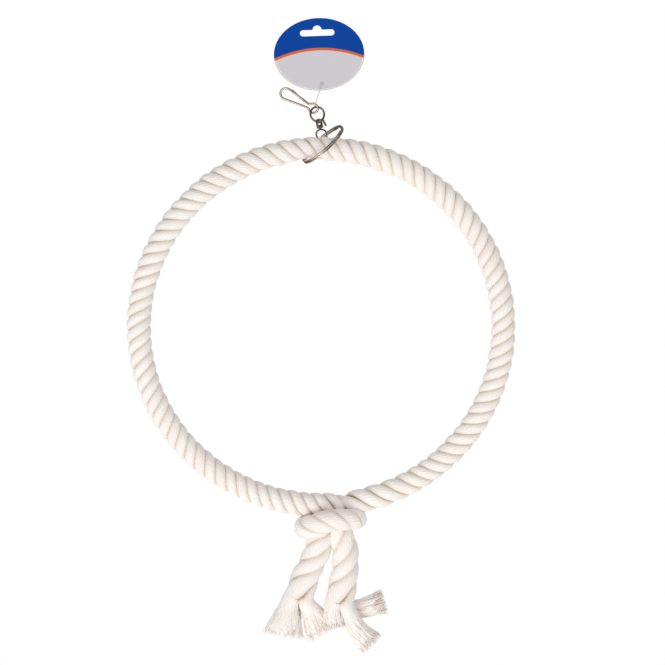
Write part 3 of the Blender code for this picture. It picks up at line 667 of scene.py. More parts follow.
def metal_material(name, bright, dull, rough, patch_wide):
    """Plated steel wire: a mirror broken by handling marks along the wire and slightly duller patches."""
    mark_long, mark_wide = 3 * MM, 0.2 * MM
    material, tree = new_material(name)
    place = node(tree, "Attribute", attribute_name="yarn")["Vector"]
    drawn = node(tree, "Mapping", {"Vector": place, "Scale": (1 / mark_long, 1 / mark_wide, 0)})[0]
    marks = node(tree, "TexNoise", {"Vector": drawn, "Scale": 1.0, "Detail": 3.0})["Fac"]
    body = node(tree, "TexCoord")["Object"]
    patch = node(tree, "TexNoise", {"Vector": body, "Scale": 1 / patch_wide, "Detail": 2.0})["Fac"]
    dulled = node(tree, "MapRange", {0: patch, 1: 0.45, 2: 0.72, 3: 0.0, 4: 0.6})[0]
    colour = node(tree, "Mix", {0: dulled, 6: opaque(bright), 7: opaque(dull)}, data_type="RGBA")[2]
    polish = node(tree, "MapRange", {0: marks, 1: 0.3, 2: 0.75, 3: rough, 4: rough + 0.08})[0]
    bump = node(tree, "Bump", {"Height": marks, "Strength": 0.03, "Distance": 0.03 * MM})[0]
    shader = node(tree, "BsdfPrincipled", {
        "Base Color": colour, "Metallic": 1.0, "Roughness": polish, "Normal": bump,
    })[0]
    node(tree, "OutputMaterial", {"Surface": shader})
    return material


def card_material(tag):
    """Varnished printed card: flat inks with a satin coat, pale brown board where it is cut, and painted
    shadow along its lower rim and round the filament's hole.
    """
    border_r, border_top = 75 * MM, 3.5 * MM  # the border between the inks is an arc, highest in the middle
    stripe_half, ink_edge = 0.9 * MM, 0.15 * MM
    grain_wide = 0.4 * MM
    material, tree = new_material("varnished_printed_card")
    place = node(tree, "Attribute", attribute_name="print")["Vector"]
    across, up, cut = node(tree, "SeparateXYZ", {"Vector": place})
    square = node(tree, "Math", {0: across, 1: across}, operation="MULTIPLY")[0]
    fall = node(tree, "Math", {0: square, 1: -0.5 / border_r, 2: border_top}, operation="MULTIPLY_ADD")[0]
    above = node(tree, "Math", {0: up, 1: fall}, operation="SUBTRACT")[0]
    in_header = node(tree, "MapRange", {0: above, 1: stripe_half, 2: stripe_half + ink_edge})[0]
    in_stripe = node(tree, "MapRange", {0: above, 1: -stripe_half, 2: -stripe_half + ink_edge})[0]
    grain = node(tree, "TexNoise", {"Vector": place, "Scale": 1 / grain_wide, "Detail": 3.0})["Fac"]
    light = node(tree, "MapRange", {0: grain, 1: 0.2, 2: 0.8, 3: 0.93, 4: 1.06})[0]
    # the lower ink stops 1 mm short of the cut, which shows as a pale rim, with a painted shadow line in
    # the board's brown outside it
    scaled = node(tree, "Mapping", {"Vector": place, "Scale": (2 / TAG_W, 2 / TAG_H, 0)})[0]
    reach = node(tree, "VectorMath", {0: scaled}, operation="LENGTH")["Value"]
    rim = node(tree, "MapRange", {0: reach, 1: 0.968, 2: 0.974})[0]
    edge_shadow = node(tree, "MapRange", {0: reach, 1: 0.986, 2: 0.99})[0]
    pale = node(tree, "Mix", {0: in_stripe, 2: rim, 3: 0.0}, data_type="FLOAT")[0]
    brown = node(tree, "Mix", {0: in_stripe, 2: edge_shadow, 3: 0.0}, data_type="FLOAT")[0]
    # painted shadow round the filament's hole, darkest at its rim
    away = node(tree, "VectorMath", {0: place, 1: (*TAG_HOLE, 0)}, operation="DISTANCE")["Value"]
    hole_shadow = node(tree, "MapRange", {0: away, 1: TAG_HOLE_R, 2: TAG_HOLE_SHADOW_R, 3: 1.0, 4: 0.0})[0]
    colour = opaque(tag.panel)
    for share, ink in ((in_stripe, tag.stripe), (in_header, tag.header)):
        colour = node(tree, "Mix", {0: share, 6: colour, 7: opaque(ink)}, data_type="RGBA")[2]
    colour = node(tree, "Mix", {0: 1.0, 6: colour, 7: light}, data_type="RGBA", blend_type="MULTIPLY")[2]
    for share, tint in ((pale, tag.rim), (brown, tag.board), (cut, tag.board), (hole_shadow, tag.hole_shadow)):
        colour = node(tree, "Mix", {0: share, 6: colour, 7: opaque(tint)}, data_type="RGBA")[2]
    rough = node(tree, "MapRange", {0: grain, 3: 0.32, 4: 0.46})[0]
    bump = node(tree, "Bump", {"Height": grain, "Strength": 0.08, "Distance": 0.05 * MM})[0]
    shader = node(tree, "BsdfPrincipled", {
        "Base Color": colour, "Roughness": rough, "IOR": 1.5, "Specular IOR Level": 0.12, "Normal": bump,
    })[0]
    node(tree, "OutputMaterial", {"Surface": shader})
    return material


def nylon_material(tag):
    """Clear nylon filament: looks milky white against the light, with a soft shine."""
    cloud_wide = 2 * MM
    material, tree = new_material("clear_nylon_filament")
    body = node(tree, "TexCoord")["Object"]
    cloud = node(tree, "TexNoise", {"Vector": body, "Scale": 1 / cloud_wide, "Detail": 2.0})["Fac"]
    rough = node(tree, "MapRange", {0: cloud, 3: 0.22, 4: 0.4})[0]
    shade = tuple(0.86 * c for c in tag.nylon)
    colour = node(tree, "Mix", {0: cloud, 6: opaque(tag.nylon), 7: opaque(shade)}, data_type="RGBA")[2]
    shader = node(tree, "BsdfPrincipled", {
        "Base Color": colour, "Roughness": rough, "IOR": 1.53, "Transmission Weight": 0.3,
    })[0]
    node(tree, "OutputMaterial", {"Surface": shader})
    return material


def floor_material(stage):
    """Pale matt studio floor, clear from below so that it hides nothing."""
    patches_per_metre = 3.0
    material, tree = new_material("studio_floor")
    spot = node(tree, "TexCoord")["Object"]
    cloud = node(tree, "TexNoise", {"Vector": spot, "Scale": patches_per_metre, "Detail": 2.0})["Fac"]
    light = node(tree, "MapRange", {0: cloud, 3: 0.97, 4: 1.0})[0]
    colour = node(
        tree, "Mix", {0: 1.0, 6: opaque(stage.floor), 7: light}, data_type="RGBA", blend_type="MULTIPLY",
    )[2]
    matt = node(tree, "BsdfPrincipled", {
        "Base Color": colour, "Roughness": 0.9, "Specular IOR Level": 0.1,
        "Emission Color": opaque(stage.floor), "Emission Strength": 0.36,
    })[0]
    clear = node(tree, "BsdfTransparent")[0]
    below = node(tree, "NewGeometry")["Backfacing"]
    surface = node(tree, "MixShader", {0: below, 1: matt, 2: clear})[0]
    node(tree, "OutputMaterial", {"Surface": surface})
    return material


def shared(name, make, *settings):
    """The material of this name, made once."""
    return bpy.data.materials.get(name) or make(*settings)


def cotton():
    return shared("bleached_cotton_yarn", cotton_material, bpy.context.scene.swing_rope)


def nickel():
    """Bright nickel plate, only a little dulled."""
    steel = bpy.context.scene.swing_steel
    name = "bright_nickel_plate"
    return shared(name, metal_material, name, steel.nickel, steel.worn_and_shaded, 0.32, 4 * MM)


def shaded_nickel():
    """A darker, rougher copy of the bright plate for the swivel and the gate, with a softer gloss: its
    darker colours are painted shade.
    """
    steel = bpy.context.scene.swing_steel
    name = "rubbed_nickel_plate"
    return shared(name, metal_material, name, steel.worn_and_shaded, steel.rubbed, 0.36, 4 * MM)


# Stage


def sky(stage):
    """A white studio: plain to the camera, brighter from below for soft things, dark in front for metal."""
    world = bpy.data.worlds.new("white_studio")
    world.use_nodes = True
    tree = world.node_tree
    tree.nodes.clear()
    way = node(tree, "TexCoord")["Generated"]
    _, back, up = node(tree, "SeparateXYZ", {"Vector": way})
    toward_soft = node(tree, "VectorMath", {0: way, 1: SOFT_FROM}, operation="DOT_PRODUCT")["Value"]
    toward_gleam = node(tree, "VectorMath", {0: way, 1: GLEAM_FROM}, operation="DOT_PRODUCT")["Value"]
    soft = node(tree, "MapRange", {0: toward_soft, 1: -1.0, 2: 1.0, 3: 0.72, 4: 1.26})[0]
    behind = node(tree, "MapRange", {0: back, 1: 0.55, 2: 0.9, 3: 0.0, 4: 0.9})[0]
    around = node(tree, "Math", {0: soft, 1: behind}, operation="ADD")[0]
    below = node(tree, "MapRange", {0: toward_gleam, 1: 0.62, 2: 0.96, 3: 0.2, 4: 1.3})[0]
    above = node(tree, "MapRange", {0: up, 1: 0.7, 2: 0.96, 3: 0.2, 4: 1.0})[0]
    front = node(tree, "Math", {0: below, 1: above}, operation="MAXIMUM")[0]
    rays = node(tree, "LightPath")
    lit = node(tree, "Mix", {0: rays["Is Glossy Ray"], 2: around, 3: front}, data_type="FLOAT")[0]
    strength = node(tree, "Math", {0: lit, 1: stage.sky}, operation="MULTIPLY")[0]
    seen = node(tree, "Mix", {0: rays["Is Camera Ray"], 2: strength, 3: 1.0}, data_type="FLOAT")[0]
    light = node(tree, "Background", {"Color": (1, 1, 1, 1), "Strength": seen})[0]
    node(tree, "OutputWorld", {"Surface": light})
    return world


def area_light(name, place, size, power):
    """A square light that faces the swing."""
    light = bpy.data.lights.new(name, "AREA")
    light.size = size
    light.energy = power
    obj = add_object(name, light)
    obj.location = place
    obj.rotation_euler = (Vector(SWING_MIDDLE) - Vector(place)).to_track_quat("-Z", "Y").to_euler()


def build_stage(scene):
    """The photo's camera, the lights, the white studio round the swing and the floor."""
    stage = scene.swing_stage
    camera = bpy.data.cameras.new("photo_camera")
    camera.sensor_width = SENSOR_WIDTH
    camera.lens = CAMERA_LENS
    obj = add_object("photo_camera", camera)
    obj.location = CAMERA_PLACE
    obj.rotation_euler = (math.pi / 2, 0, 0)
    scene.camera = obj
    scene.view_settings.view_transform = "Standard"
    scene.view_settings.look = "None"
    scene.world = sky(stage)
    for name, (place, size, part) in LIGHTS.items():
        area_light(name, place, size, part * stage.key)
    bm = bmesh.new()
    bmesh.ops.create_circle(bm, cap_ends=True, segments=96, radius=FLOOR_R)
    mesh = bpy.data.meshes.new("studio_floor")
    bm.to_mesh(mesh)
    bm.free()
    floor = add_object("studio_floor", mesh)
    floor.location = FLOOR_PLACE
    floor.data.materials.append(floor_material(stage))
    floor.visible_shadow = False
    floor.visible_diffuse = False
    floor.visible_glossy = False


# Pieces


def filament_route():
    """The filament, from the lock behind the card through the hole, round the snap's wire and back up.

    Its points are pairs of height above the wire and depth behind it. The lock's middle is given too.
    """
    _, up, back, origin = tag_place()
    run, face, bend, behind = 15.33 * MM, 0.85 * MM, 1.2 * MM, 1.5 * MM
    lock_mid, lock_end = run - 3.2 * MM, 1.4 * MM
    pairs = [
        (lock_mid + lock_end, behind), (run - 0.3 * MM, 0.6 * face + 0.3 * MM), (run, 0),
        (run - 0.5 * MM, -face), (run - 2.5 * MM, -1.1 * face), (0.55 * run, -1.1 * face),
        (0.22 * run, -1.15 * bend),
    ]
    under = arc((0, 0), bend, math.pi, math.tau, 7)
    pairs += [(height, depth) for depth, height in under]
    pairs += [(0.22 * run, 1.15 * bend), (0.5 * run, 1.2 * behind), (lock_mid - lock_end, behind)]
    points = flat_to_world(pairs, (up, back, None, origin))
    return resample(smooth_path(points, 0.3 * MM), 40), origin + up * lock_mid + back * behind


def build_filament(scene):
    """The clear filament of the tag, and the waisted bead that locks it."""
    points, lock_at = filament_route()
    curve = bpy.data.curves.new("tag_filament", "CURVE")
    curve.dimensions = "3D"
    curve.bevel_depth = FILAMENT_D / 2
    curve.bevel_resolution = 3
    curve.use_fill_caps = True
    poly_spline(curve, points)
    filament = add_object("tag_filament", curve)
    nylon = shared("clear_nylon_filament", nylon_material, scene.swing_tag)
    settle(filament, "tag", nylon, "clear_nylon", "tag_loop")

    right, up, back, _ = tag_place()
    radius, half, axis_r = 0.9 * MM, 1.1 * MM, 0.02 * MM
    # parts of its radius and of half its length, from its waist to one end
    upper = [(0.86, 0.08), (1.0, 0.2), (1.0, 0.6), (0.9, 0.86), (0.6, 1.0), (axis_r / radius, 1.0)]
    outline = [(across, -height) for across, height in reversed(upper)] + upper
    profile = [(across * radius, height * half) for across, height in outline]
    lock = grid_mesh("tag_lock_bead", [turned(profile, (right, back, up, lock_at), 28)])
    settle(lock, "tag", nylon, "clear_nylon", "tag_lock")


def ring_curve(beta, reach, depth):
    """Points of the hanging ring: beta is clockwise from its top, reach its radius, depth its way back."""
    tall = 1 + (BOTTOM_LOWER - TOP_LOWER) / (2 * RING_R)
    lower = (TOP_LOWER + BOTTOM_LOWER) / 2
    return in_ring(np.column_stack([
        RING_WIDE * reach * np.sin(beta), depth, reach * np.cos(beta) * tall - lower,
    ]))


def build_ring(scene):
    """The perch ring: three strands, laid from one rope end in the knot round to the other."""
    rope = scene.swing_rope
    rng = np.random.default_rng(rope.seed)
    count, butt_gap, first_turn, yarn_shift = 1080, 0.2 * MM / RING_R, 0.6, 50 * MM
    dip_wide, dip_out, dip_back = math.radians(2.6), 2.2 * MM, 1.5 * MM
    press_at, press_wide, press_out = math.radians(5), math.radians(4.5), 0.9 * MM
    loose_from, loose_full = 70 * MM, 22 * MM
    beta = np.linspace(BUTT_ANGLE + butt_gap, BUTT_ANGLE + math.tau - butt_gap, count)
    top = math.tau
    # both rope ends dip into the knot where they meet
    near = np.minimum(beta - BUTT_ANGLE, BUTT_ANGLE + math.tau - beta)
    dip = hump(near, 0, dip_wide)
    # the split ring presses into the rope where the rope lies in it
    pressed = hump(beta, top - press_at, press_wide)
    points = ring_curve(beta, RING_R + dip_out * dip + press_out * pressed, dip_back * dip)
    along = directions(points)
    normals = square_to(unit(points - ring_place()[3]), along)
    length = path_length(points)
    # the rope is looser for the last turns before its right-hand end
    loose = smoothstep(length, length[-1] - loose_from, length[-1] - loose_full)
    lay = rope.lay + (0.92 * rope.loose_lay - rope.lay) * loose
    # and a little where the swing's weight hangs from it
    lay = lay * (1 + 0.1 * hump(beta, top - math.radians(12), math.radians(24)))
    lay = lay * (1 + wobble(length, rng, 0.05, (190 * MM, 83 * MM)))
    turn = lay_turns(length, lay)
    thinner = 0.1 * dip + 0.12 * pressed
    radius = rope.rope_d / 2 * (1 - thinner + wobble(length, rng, 0.012, (61 * MM, 37 * MM)))
    grids = []
    for k in range(3):
        own = radius * (1 + wobble(length, rng, 0.014, (47 * MM, 29 * MM)))
        own_turn = turn + math.tau * k / 3 + first_turn
        rings, marks, _ = laid_strand(points, along, normals, own_turn, own, lay, RING_FULL)
        marks[..., 1] += yarn_shift * k
        grids.append((rings, marks))
    ring = grid_mesh("ring_rope_laid", grids)
    settle(ring, "rope_ring", cotton(), "natural_cotton", "ring_rope")


def build_knot(scene):
    """One turn of slack rope round both ends. Its three strands are one that goes round three times."""
    rope = scene.swing_rope
    rng = np.random.default_rng(rope.seed + 1)
    count, loops, rope_turns, first_turn = 1080, 3, 10, 0.9
    rope_part, right_thinner, uneven_part = 0.46, 0.06, 0.012
    t = np.linspace(0, math.tau * loops, count, endpoint=False)
    x = KNOT_SIDE + KNOT_HALF_W * np.cos(t)
    # it follows the ring's curve up to both sides
    rise = RING_R - np.sqrt(RING_R**2 - x**2)
    low = -RING_R - KNOT_DROP - KNOT_SAG * np.cos(t) ** 2 + rise + KNOT_LEAN * np.cos(t)
    points = in_ring(np.column_stack([x, KNOT_HALF_D * np.sin(t), low]))
    along = directions(points, closed=True)
    middle = in_ring([(KNOT_SIDE, 0, -RING_R - KNOT_DROP - KNOT_SAG)])[0]
    normals = square_to(unit(points - middle), along)
    uneven = uneven_part * np.sin(5 * t / loops + rng.uniform(0, 6))
    radius = rope_part * rope.rope_d * (1 - right_thinner * np.cos(t) + uneven)
    turn = t * rope_turns / loops + first_turn
    lay = 0.8 * rope.loose_lay
    rings, marks, _ = laid_strand(points, along, normals, turn, radius, lay, KNOT_FULL, closed=True)
    knot = grid_mesh("knot_wrap_laid", [(rings, marks)], closed=True)
    settle(knot, "rope_ring", cotton(), "natural_cotton", "knot_wrap")


def below_knot(x, z):
    """A point across and up from the knot, in the ring's frame."""
    return KNOT_SIDE + x, 0, -RING_R - KNOT_DROP + z


def tail_path(drawn):
    """A free end, from where it is squeezed in the knot to where its strands part, in the ring's frame."""
    side = math.copysign(NECK_SIDE, drawn[0][0])
    points = [below_knot(side, NECK_TOP), below_knot(side, NECK_BOTTOM)]
    points += [below_knot(x * MM, z * MM) for x, z in drawn]
    points = np.array(points)
    points[-1] += unit(points[-1] - points[-2]) * TAIL_MORE
    return smooth_path(points, 0.7 * MM)


def strand_path(end, along, start, way, back):
    """Where one strand goes once it has left the rope, in the ring's frame."""
    across = np.array((-along[2], 0, along[0]))
    first = end + across * start[0] * MM
    points = []
    for x, z in way:
        depth = start[1] - back * z / BACK_PER
        points.append((first[0] + x * MM, depth * MM, end[2] + z * MM))
    return points


def loose_yarn(rng, number, yarn_d, share, free, sideways, depth, across):
    """One yarn of a frayed end, from where it leaves the strand's body to its tip.

    Every second one lies outside and comes free early. Every fourth is a fine wisp that strays more.
    """
    outer = number % 2 == 0
    wisp = number % 4 == 3
    # ranges of its place across the strand, of where along it it starts, and of its own thickness
    spots, starts = ((0.97, 1.06), (0.36, 0.68)) if outer else ((0, 0.94), (0.66, 0.84))
    thicknesses, straying = ((0.18, 0.3), 0.4) if wisp else ((0.75, 1.05), 0.13)
    spot = rng.uniform(*spots)
    if not outer:
        spot = math.sqrt(spot)  # evenly spread over the section
    start = rng.uniform(*starts)
    steps = np.linspace(start, rng.uniform(0.92, 1.04), 16)
    t = (steps - start) / (1 - start)
    middle, u, v, half = (read_along(share, rows, steps) for rows in (free, sideways, depth, across))
    u, v = unit(u), unit(v)
    angle = rng.uniform(0, math.tau) + rng.normal(0, 0.2) * t
    stray = straying * half[0, 0] * rng.normal(0, 1, 2).clip(-1.5, 1.5)
    curl = 0.1 * MM * np.sin(math.tau * (t * rng.uniform(1.0, 3.0) + rng.uniform()))
    aside = spot * half[:, 0] * np.cos(angle) + stray[0] * t**2 + curl
    behind = spot * half[:, 1] * np.sin(angle) + stray[1] * t**2 - curl
    place = middle + u * aside[:, None] + v * behind[:, None]
    # it rises out of the strand's body and tapers to its tip
    radius = yarn_d / 2 * rng.uniform(*thicknesses) * (1 - 0.8 * t**2) * smoothstep(t, -0.1, 0.3)
    rings = tube(place, *carry_normals(place, u[0]), radius, 6)
    # no two yarns share a stretch of the pattern; each yarn is tinted a little toward the cotton's shade
    # colour at random, and its tips more, darker and warmer
    length = path_length(place) + 30 * MM * number
    girth = 11.3 * MM * number - YARN_SLANT * length
    tips_toward_shade = rng.uniform(0, 0.1) + 0.32 * smoothstep(t, 0.35, 1.0)
    return rings, yarn_marks(rings, length, girth[:, None], tips_toward_shade[:, None])


def build_end(scene, side, drawn, strands):
    """One free rope end: a laid piece that bends at the knot, and three strands that unlay and fray."""
    rope = scene.swing_rope
    rng = np.random.default_rng(rope.seed + (2 if side == "left" else 3))
    yarn_shift, groove_shade_part, lead = 60 * MM, 0.72, 3 * MM
    step, rounds = 0.6 * MM, 150
    local = tail_path(drawn)
    points = in_ring(local)
    along, normals = carry_normals(points, (1, 0, 0))
    length = path_length(points)
    left_over = length[-1] - length
    # squeezed in the knot, swelling to the full rope below it and again where the strands are about to part
    swell = 0.62 + 0.32 * smoothstep(length, 3 * MM, 10 * MM) + 0.06 * smoothstep(length, 10 * MM, 24 * MM)
    radius = rope.tail_d / 2 * (swell + 0.1 * smoothstep(-left_over, -26 * MM, -6 * MM))
    # the strands straighten by degrees before they part
    lay = rope.loose_lay * (1 + 1.5 * smoothstep(-left_over, -16 * MM, 0))
    twist = lay_turns(length, lay)
    drawn_end = np.array(below_knot(drawn[-1][0] * MM, drawn[-1][1] * MM))
    going = unit(local[-1] - local[-2])
    # the last of each laid strand is tucked into the frayed one that grows out of it
    last = np.arange(len(points)) - len(points)
    tucked = (1 - 0.35 * smoothstep(last, -0.7 * LAP, 0))[:, None, None]
    laid = []
    for k, (name, drawing) in enumerate(strands.items()):
        turn = END_TURN + math.tau * k / 3 + twist - twist[-1]
        rings, marks, (centre, run, out) = laid_strand(points, along, normals, turn, radius, lay, END_FULL)
        marks[..., 1] += yarn_shift * k
        marks[..., 2] *= groove_shade_part  # slack strands leave shallow grooves, so their painted groove shade is lighter
        laid.append((centre[:, None] + (rings - centre[:, None]) * tucked, marks))
        way = strand_path(drawn_end, going, drawing["start"], drawing["way"], drawing["back"])
        free = smooth_path(np.vstack([centre[-1], centre[-1] + run[-1] * lead, in_ring(way)]), step)
        root = [rows[-LAP - 1:-1] for rows in (centre, run, out)]
        eased = relaxed(np.vstack([root[0], free]), LAP // 2, rounds)
        root[0], free = eased[:LAP], eased[LAP:]
        strand = frayed_strand(rope, rng, f"{name}_frayed", drawing["flare"], free, out[-1], root, lay[-1])
        settle(strand, f"{side}_end", cotton(), "natural_cotton", name)
    body = grid_mesh(f"{side}_end_laid", laid)
    settle(body, None, cotton(), "natural_cotton", f"{side}_neck", f"{side}_tail")
    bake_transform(body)


def frayed_strand(rope, rng, name, flare, free, out, root, lay):
    """The unlaid part of a strand, which spreads into a brush of its yarns.

    The brush is flare times as wide as the strand. root is the last of the laid strand, which this piece
    grows out of, so that no seam shows.
    """
    sides, square = 84, 2.15
    base = 1.1 * rope.tail_d / 2  # the rope's radius where its strands part
    round_part = 0.5  # of that radius, once the strand has become round
    dome_from, dome_long, body_end = 0.78, 0.16, 0.94  # as shares of the strand's length
    ridge_high, furrow_shade, tip_uneven = 0.05, 0.45, 1.1 * MM
    along, normals = carry_normals(free, out)
    share = path_length(free) / path_length(free)[-1]
    free, along, normals = (np.vstack(pair) for pair in zip(root, (free, along, normals)))
    share = np.concatenate([np.zeros(LAP), share])
    sideways = unit(np.cross(ring_place()[1], along))
    depth = np.cross(along, sideways)
    spread = share**1.6
    broad = 1 + (flare - 1) * spread
    deep = 1 + 0.45 * (flare - 1) * spread
    # the body grows out of the laid strand, becomes round, and closes like a dome among the yarns
    grown = 0.95 + 0.065 * smoothstep(np.arange(len(share)), 0, 0.6 * LAP)
    close = grown * np.sqrt(1 - np.clip((share - dome_from) / dome_long, 0, 0.985) ** 2)
    to_round = smoothstep(share, -0.12, 0.38)
    wide = close * (END_FULL * strand_width(base, lay) * (1 - to_round) + round_part * base * to_round)
    high = close * base * (STRAND_HIGH + (round_part - STRAND_HIGH) * to_round)
    body = slice(0, int(np.searchsorted(share, body_end)))
    middle = free[body, None]
    side = np.cross(normals, along)
    rings, marks = sections(free[body], side[body], normals[body], wide[body], high[body], square, sides)
    # its yarns stand out as ridges of uneven length once it spreads
    ridges = 0.5 * rng.normal(0, 1, sides) + clumps(rng, sides, 1.6)
    ridged = smoothstep(share, 0.1, 0.75)[body, None]
    offset = (rings - middle) * (1 + ridge_high * ridged * ridges)[..., None]
    rings = middle + offset
    for way, more in ((sideways[body, None], broad), (depth[body, None], deep)):
        rings = rings + way * np.sum(offset * way, axis=2, keepdims=True) * (more[body, None, None] - 1)
    uneven = 0.6 * rng.normal(0, 1, sides).clip(-1.5, 1.5) + clumps(rng, sides, 3.0)
    longer = tip_uneven * (close * smoothstep(share, 0.6, 0.9))[body, None] * uneven
    rings = rings + along[body, None] * longer[..., None]
    # the yarns untwist as the strand opens, and the painted shade of the rope's grooves gives way to
    # painted shade in the furrows between its yarns
    straight = np.gradient(marks[:, 0, 0]) * smoothstep(share, 0, 0.35)[body]
    marks[..., 1] -= YARN_SLANT * np.cumsum(straight)[:, None]
    marks[..., 2] *= (1 - smoothstep(share, -0.06, 0.16))[body, None]
    # painted shade in the furrows between the ridges of yarn
    marks[..., 2] += furrow_shade * ridged * np.clip(-ridges - 0.2, 0, 1.3)
    across = round_part * base * np.column_stack([broad, deep])
    brush = [rows[LAP:] for rows in (share, free, sideways, depth, across)]
    yarns = [loose_yarn(rng, number, rope.yarn_d, *brush) for number in range(rope.yarns)]
    return grid_mesh(name, [(rings, marks)] + yarns)


def build_hoop(scene):
    """The wire hoop that keeps the rope in a ring. It lies in the middle of the rope and doesn't show."""
    steel = scene.swing_steel
    dull = tuple(0.7 * c for c in steel.zinc)
    zinc = metal_material("dull_zinc_coat", steel.zinc, dull, 0.38, 6 * MM)
    beta = round_turns(240)
    points = ring_curve(beta, np.full_like(beta, RING_R), np.zeros_like(beta))
    rings = wire(points, ring_place()[1], HOOP_WIRE_D / 2, closed=True)
    hoop = grid_mesh("core_hoop_wire", [rings], closed=True)
    settle(hoop, "rope_ring", zinc, "galvanised_wire", "core_hoop")


def build_split_ring():
    """Two turns of flat wire with soft edges, whose ends lie open beside the climb from turn to turn."""
    long, square, axis, centre = split_place()
    half_w, half_h, pitch = 1.0 * MM, 0.45 * MM, 1.4 * MM
    start, climb_arc, end_gap = math.radians(110), math.radians(50), math.radians(6)
    count, sides, edge_square = 240, 20, 5.0
    filed, filed_to = 4, 0.62  # points of each end, and the part of its thickness that is left
    turns = np.linspace(0, 2 * math.tau - climb_arc - end_gap, count)
    angle = SPLIT_HELD_AT + start + turns
    out = np.cos(angle)[:, None] * long + np.sin(angle)[:, None] * square
    level = pitch * (smoothstep(turns, math.tau - climb_arc, math.tau) - 0.5)
    middle = centre + out * SPLIT_R + level[:, None] * axis
    side = np.cross(out, directions(middle))
    # the cut ends are filed round
    from_end = np.minimum(np.arange(count), np.arange(count)[::-1])
    small = filed_to + (1 - filed_to) * np.sqrt(1 - (1 - from_end / filed).clip(0, 1) ** 2)
    rings = sections(middle, side, out, half_h * small, half_w * small, edge_square, sides)
    ring = grid_mesh("split_ring_wire", [rings])
    settle(ring, "split", nickel(), "nickel_plated_steel", "split_ring")


def build_swivel():
    """An upper ring with its free end out, a yoke with a window, and an eye on a riveted stem."""
    right, back, up, origin = swivel_place()
    place = (right, up, back, origin)
    axis_r, wire_r, ring_from = 0.01 * MM, SWIVEL_WIRE_D / 2, math.radians(262)
    # the free end of the ring goes down past the yoke
    lip_x = YOKE_R + SWIVEL_GAP + wire_r
    circle = arc((0, 0), SWIVEL_RING_R, ring_from, -math.acos(lip_x / SWIVEL_RING_R), 40)
    low = circle[-1][1]
    lip = [(lip_x + 0.33 * MM, low - 1.6 * MM), (lip_x + 1.3 * MM, low - 4.6 * MM)]
    path = smooth_path(flat_to_world(circle + lip, place), 0.25 * MM)
    ring = grid_mesh("swivel_ring_wire", [wire(path, back, SWIVEL_DRAWN_D / 2)])
    settle(ring, "swivel", shaded_nickel(), "nickel_plated_steel", "swivel_ring")

    top = SWIVEL_RING_R - YOKE_OVERLAP
    bore_r, hole_r, roof = 1.65 * MM, 1.05 * MM, 3.4 * MM
    window_w, window_depth = 2.8 * MM, 4.6 * MM
    floor = YOKE_H - YOKE_FLOOR
    # parts of its radius, and mm below its top
    outside = [(0.45, 0.12), (0.8, 0.45), (0.95, 0.75), (1.0, 1.05), (1.0, 6.5), (0.97, 6.7), (0.9, 6.8)]
    profile = [(axis_r, 0)] + [(part * YOKE_R, depth * MM) for part, depth in outside]
    profile += [(hole_r, YOKE_H), (hole_r, floor), (bore_r, floor), (bore_r, roof), (axis_r, roof)]
    profile = [(radius, -top - depth) for radius, depth in profile]
    yoke = grid_mesh("swivel_yoke_body", [turned(profile, (right, -back, up, origin), 56)])
    cut_window(yoke, place, window_w, -top - window_depth)
    settle(yoke, "swivel", shaded_nickel(), "nickel_plated_steel", "swivel_yoke")

    side, eye_back, eye_up, eye = eye_place()
    turns = round_turns(72)
    oval = np.column_stack([EYE_HALF_W * np.cos(turns), EYE_HALF_H * np.sin(turns)])
    oval[:, 1] *= np.where(oval[:, 1] < 0, 1 + EYE_LONGER / EYE_HALF_H, 1.0)
    path = flat_to_world(oval, (side, eye_up, eye_back, eye))
    loop = grid_mesh("swivel_eye_wire", [wire(path, eye_back, wire_r, closed=True)], closed=True)
    settle(loop, "eye", shaded_nickel(), "nickel_plated_steel", "swivel_eye")

    # the rivet head turns on the yoke's floor
    head = YOKE_FLOOR + SWIVEL_GAP + wire_r + EYE_HALF_H + SWIVEL_GAP
    stem_r, head_r, foot = 0.75 * MM, 1.3 * MM, 3.2 * MM
    profile = [(axis_r, foot), (stem_r, foot), (stem_r, head), (head_r, head)]
    dome = ((1.3, 0.55), (1.1, 0.85), (0.7, 1.05), (0.01, 1.1))  # radius and height in mm
    profile += [(radius * MM, head + height * MM) for radius, height in dome]
    stem = grid_mesh("swivel_eye_stem", [turned(profile, (side, eye_back, eye_up, eye), 32)])
    settle(stem, "eye", shaded_nickel(), "nickel_plated_steel")


def cut_window(yoke, place, size, height):
    """Cut a square window through the yoke, from front to back."""
    right, up, back, origin = place
    through, sharp = 20 * MM, math.radians(40)
    axes = np.column_stack([right * size, back * through, up * size])
    matrix = Matrix(axes.tolist()).to_4x4()
    matrix.translation = Vector(origin + up * height)
    bm = bmesh.new()
    bmesh.ops.create_cube(bm, size=1, matrix=matrix)
    bmesh.ops.recalc_face_normals(bm, faces=bm.faces)
    mesh = bpy.data.meshes.new("yoke_window")
    bm.to_mesh(mesh)
    bm.free()
    cutter = add_object("yoke_window", mesh)
    modifier = yoke.modifiers.new("window", "BOOLEAN")
    modifier.object = cutter
    modifier.operation = "DIFFERENCE"
    modifier.solver = "EXACT"
    cut = evaluated_mesh(yoke)
    yoke.modifiers.clear()
    yoke.data = cut
    cut.set_sharp_from_angle(angle=sharp)
    bpy.data.objects.remove(cutter, do_unlink=True)


